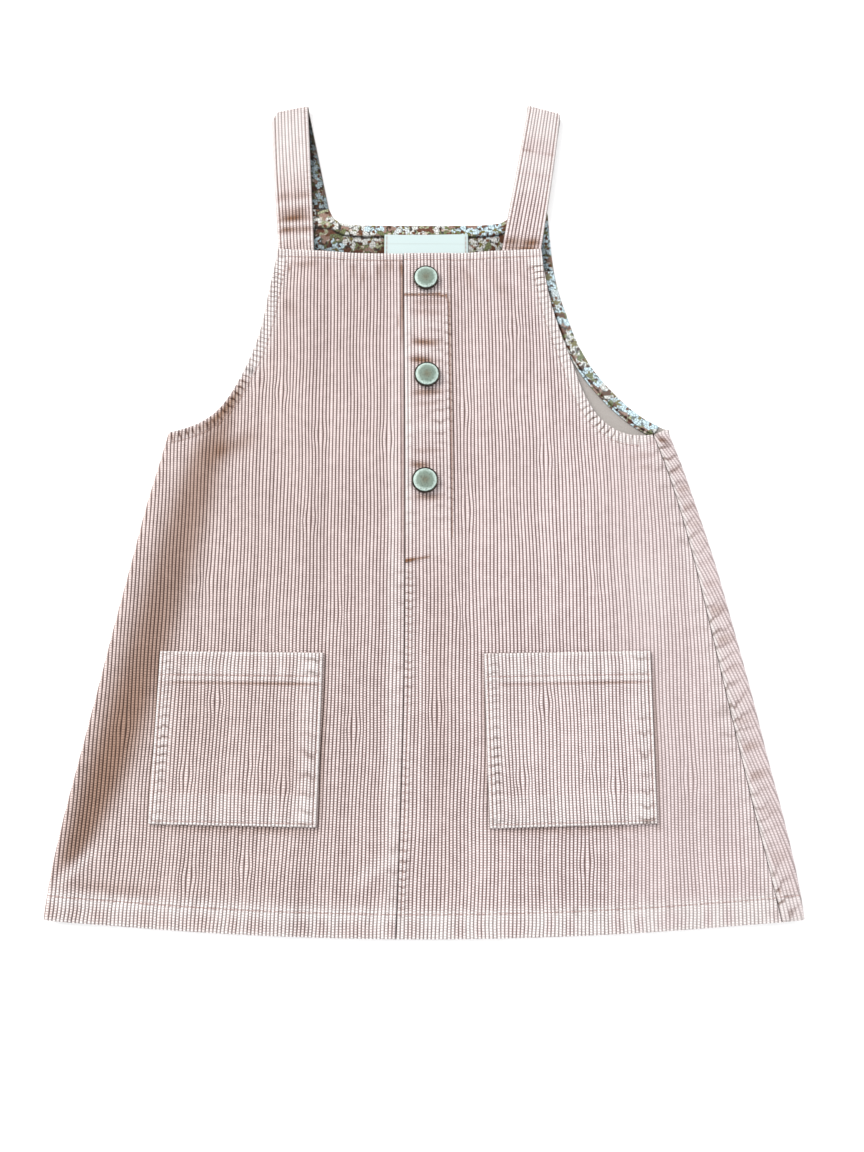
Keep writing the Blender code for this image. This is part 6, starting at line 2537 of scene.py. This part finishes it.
@dataclass(frozen=True)
class Button:
    """One tack button: a dark rim on a shank, and a domed face set in it."""

    number: int
    radius: float = 8.5
    rim_width: float = 0.9
    rim_height: float = 1.8
    curl: float = 0.45
    bevel: float = 0.3
    pan: float = 0.9
    clearance: float = 0.15
    shank: float = 2.6
    lift: float = 1.1
    crown: float = 2.6
    dome: float = 0.9
    dot_radius: float = 0.84
    dots: int = 54
    rim_sides: int = 96
    face_sides: int = 270

    def revolve(self, name: str, profile: Array, centre: Array, sides: int,
                relief: Optional[Lift] = None) -> Piece:
        """Carry a closed profile of radius and height round an upright axis.

        A point is (radius cos t, radius sin t, height + relief), and both ends of the profile
        close in a single point on the axis.

        Args:
            name: The piece's name.
            profile: Radius and height, starting and ending on the axis.
            centre: X and up of the axis.
            sides: Points round the axis.
            relief: Extra height by the share of the radius and the angle.

        Returns:
            The piece, with a UV map of X and Y from its middle in radii.
        """
        turn = np.linspace(0.0, 2 * np.pi, sides, endpoint=False)
        radius, height = (np.repeat(profile[1:-1, [axis]], sides, axis=1) for axis in (0, 1))
        angle = np.broadcast_to(turn, radius.shape)
        if relief is not None:
            height = height + relief(radius / self.radius, angle)
        rings = np.stack((radius * np.cos(angle), radius * np.sin(angle), height), axis=-1)
        poles = np.array(((0.0, 0.0, profile[0, 1]), (0.0, 0.0, profile[-1, 1])))
        points = np.concatenate((rings.reshape(-1, 3), poles))
        ring = np.arange(sides)
        after = (ring + 1) % sides
        start, end, last = len(points) - 2, len(points) - 1, (len(rings) - 1) * sides
        faces = ring_cells(len(rings), sides).tolist() + cone_cells(after, ring, start).tolist()
        faces += cone_cells(last + ring, last + after, end).tolist()
        piece = new_piece(name, points + (*centre, 0.0), faces)
        write_uv(piece.data, points[:, :2] / self.radius)
        return piece

    def face_relief(self, share: Array, angle: Array) -> Array:
        """A ring of fine raised dots near the edge, and a shallow dish inside it."""
        dots = bump(share - self.dot_radius, 0.028) * smooth(0.5 + 0.9 * np.cos(self.dots * angle))
        return 0.16 * dots - 0.06 * bump(share - self.dot_radius + 0.09, 0.02)

    def rim_profile(self, seat: float) -> Array:
        """Shank, underside, the curl's half ellipse and the dish that holds the face.

        Args:
            seat: Height on which the shank stands.

        Returns:
            Radius and height, from the axis to the axis.
        """
        under, dish = seat + self.lift, self.radius - self.rim_width
        top, floor, half = under + self.rim_height, under + self.pan, self.rim_height / 2
        turn = np.radians(np.linspace(-90, 90, 13))
        curl = (self.radius - self.curl + self.curl * np.cos(turn), under + half + half * np.sin(turn))
        return np.concatenate((
            ((0.0, seat), (self.shank - self.bevel, seat), (self.shank, seat + self.bevel),
             (self.shank, under)),
            np.stack(curl, axis=1),
            ((dish + 0.1, top - 0.1), (dish, top - 0.4), (dish, floor), (0.0, floor)),
        ))

    def face_profile(self, seat: float) -> Array:
        """A flat underside, an upright edge and a dome that is part of an ellipse.

        Args:
            seat: Height on which the shank stands.

        Returns:
            Radius and height, from the axis to the axis.
        """
        under = seat + self.lift
        face = self.radius - self.rim_width - self.clearance
        crown, base = under + self.crown, under + self.pan + SEAM_GAP
        steps = np.append(0.985, np.linspace(0.96, 0.03, 30))
        dome = (face * steps, crown - self.dome * (1 - np.sqrt(1 - steps**2)))
        return np.concatenate((
            ((0.0, base), (face - 0.2, base), (face, base + 0.2), (face, crown - self.dome)),
            np.stack(dome, axis=1),
            ((0.0, crown),),
        ))

    def make(self, finishes: Finishes) -> None:
        """Build the rim and the face on the solid's own middle and seat.

        Args:
            finishes: The materials.
        """
        low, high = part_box(f"button_{self.number}_rim")
        centre = np.array(((low.x + high.x) / 2, (low.y + high.y) / 2)) / MM + (0.0, HEM_Y)
        seat = low.z / MM
        rim = self.revolve(f"rim_{self.number}", self.rim_profile(seat), centre, self.rim_sides)
        dress(rim, Slot.RIM, (finishes.metal,), f"button_{self.number}_rim")
        face = self.revolve(f"face_{self.number}", self.face_profile(seat), centre, self.face_sides,
                            self.face_relief)
        dress(face, Slot.FACE, (finishes.lacquer,), f"button_{self.number}_face")


# ---------------- the studio
@dataclass(frozen=True)
class Studio:
    """A pale board, soft light from the upper left and a camera almost straight above.

    Places and sizes are in metres, powers in watts and the tilt in degrees.
    """

    board_size: float = 6.0
    board_cells: int = 12
    board_drop: float = 0.00015
    distance: float = 0.540
    tilt: float = 11.36
    target: tuple[float, float, float] = (0.0042, -0.0615, 0.004)
    focal_pixels: float = 865.0
    image_height: float = 1152.0
    sensor: float = 36.0
    clip_start: float = 0.01
    sky: float = 1.0
    lamps: tuple = (
        # name, place, side, power, colour
        ("key", (-2.1, 1.5, 2.3), 1.5, 104.0, "#fffcf8"),
        ("fill", (2.6, -0.8, 2.6), 2.8, 26.0, "#f7faff"),
    )

    def board(self) -> None:
        """The surface on which the dress lies: a grid, just under the cloth."""
        steps = np.linspace(-self.board_size / 2, self.board_size / 2, self.board_cells + 1)
        x, y = np.meshgrid(steps, steps, indexing="ij")
        points = np.stack((x, y, np.full(x.shape, -self.board_drop)), axis=-1).reshape(-1, 3)
        mesh = bpy.data.meshes.new("board")
        mesh.from_pydata(points.tolist(), [], grid_cells(len(steps), len(steps)).tolist())
        mesh.materials.append(PaleBoard().material())
        link("board", mesh)

    def lamp(self, name: str, place: Sequence[float], size: float, power: float, colour: str) -> None:
        """A square soft light that faces the middle of the dress.

        Args:
            name: The light's name.
            place: Where it stands.
            size: Its side.
            power: Its power.
            colour: Its colour as a hex value.
        """
        light = bpy.data.lights.new(name, "AREA")
        light.size = size
        light.energy = power
        light.color = srgb(colour)[:3]
        lamp = link(name, light)
        lamp.location = place
        lamp.rotation_euler = Vector(place).to_track_quat("Z", "Y").to_euler()

    def camera(self) -> None:
        """The camera: raised from the hem's side by the tilt, and level with the straps."""
        data = bpy.data.cameras.new("camera")
        data.sensor_width = self.sensor
        data.lens = self.focal_pixels * self.sensor / self.image_height
        data.clip_start = self.clip_start
        camera = link("camera", data)
        angle = math.radians(self.tilt)
        away = Vector((0.0, -math.sin(angle), math.cos(angle))) * self.distance
        camera.location = Vector(self.target) + away
        camera.rotation_euler = (angle, 0.0, 0.0)
        bpy.context.scene.camera = camera

    def set_up(self) -> None:
        """Build the board, the lights, the sky and the camera."""
        self.board()
        for lamp in self.lamps:
            self.lamp(*lamp)
        world = bpy.data.worlds.new("soft_sky")
        world.use_nodes = True
        sky = world.node_tree.nodes["Background"]
        sky.inputs["Color"].default_value = srgb(WHITE)
        sky.inputs["Strength"].default_value = self.sky
        bpy.context.scene.world = world
        bpy.context.scene.view_settings.view_transform = "Standard"
        self.camera()


def main() -> None:
    """Build the studio, and then the dress from the table up."""
    logging.basicConfig(level=logging.INFO, format="%(name)s %(message)s")
    finishes = Finishes()
    Studio().set_up()
    pieces = [Back(), LeftFront(), RightFront(), Placket(), NeckFacing(), ArmholeFacing(), Label()]
    for side in STRAPS:
        pieces.append(Strap(node=f"strap_{side}", side=side, rests_on=(f"strap_lining_{side}",)))
        pieces.append(
            StrapLining(node=f"strap_lining_{side}", side=side, rests_on=("facing_neck",))
        )
    for side in POCKETS:
        pieces.append(Pocket(node=f"pocket_{side}", side=side, rests_on=(f"front_{side}",)))
    pieces += [Button(number) for number in (1, 2, 3)]
    for piece in pieces:
        piece.make(finishes)


if __name__ == "__main__":
    main()
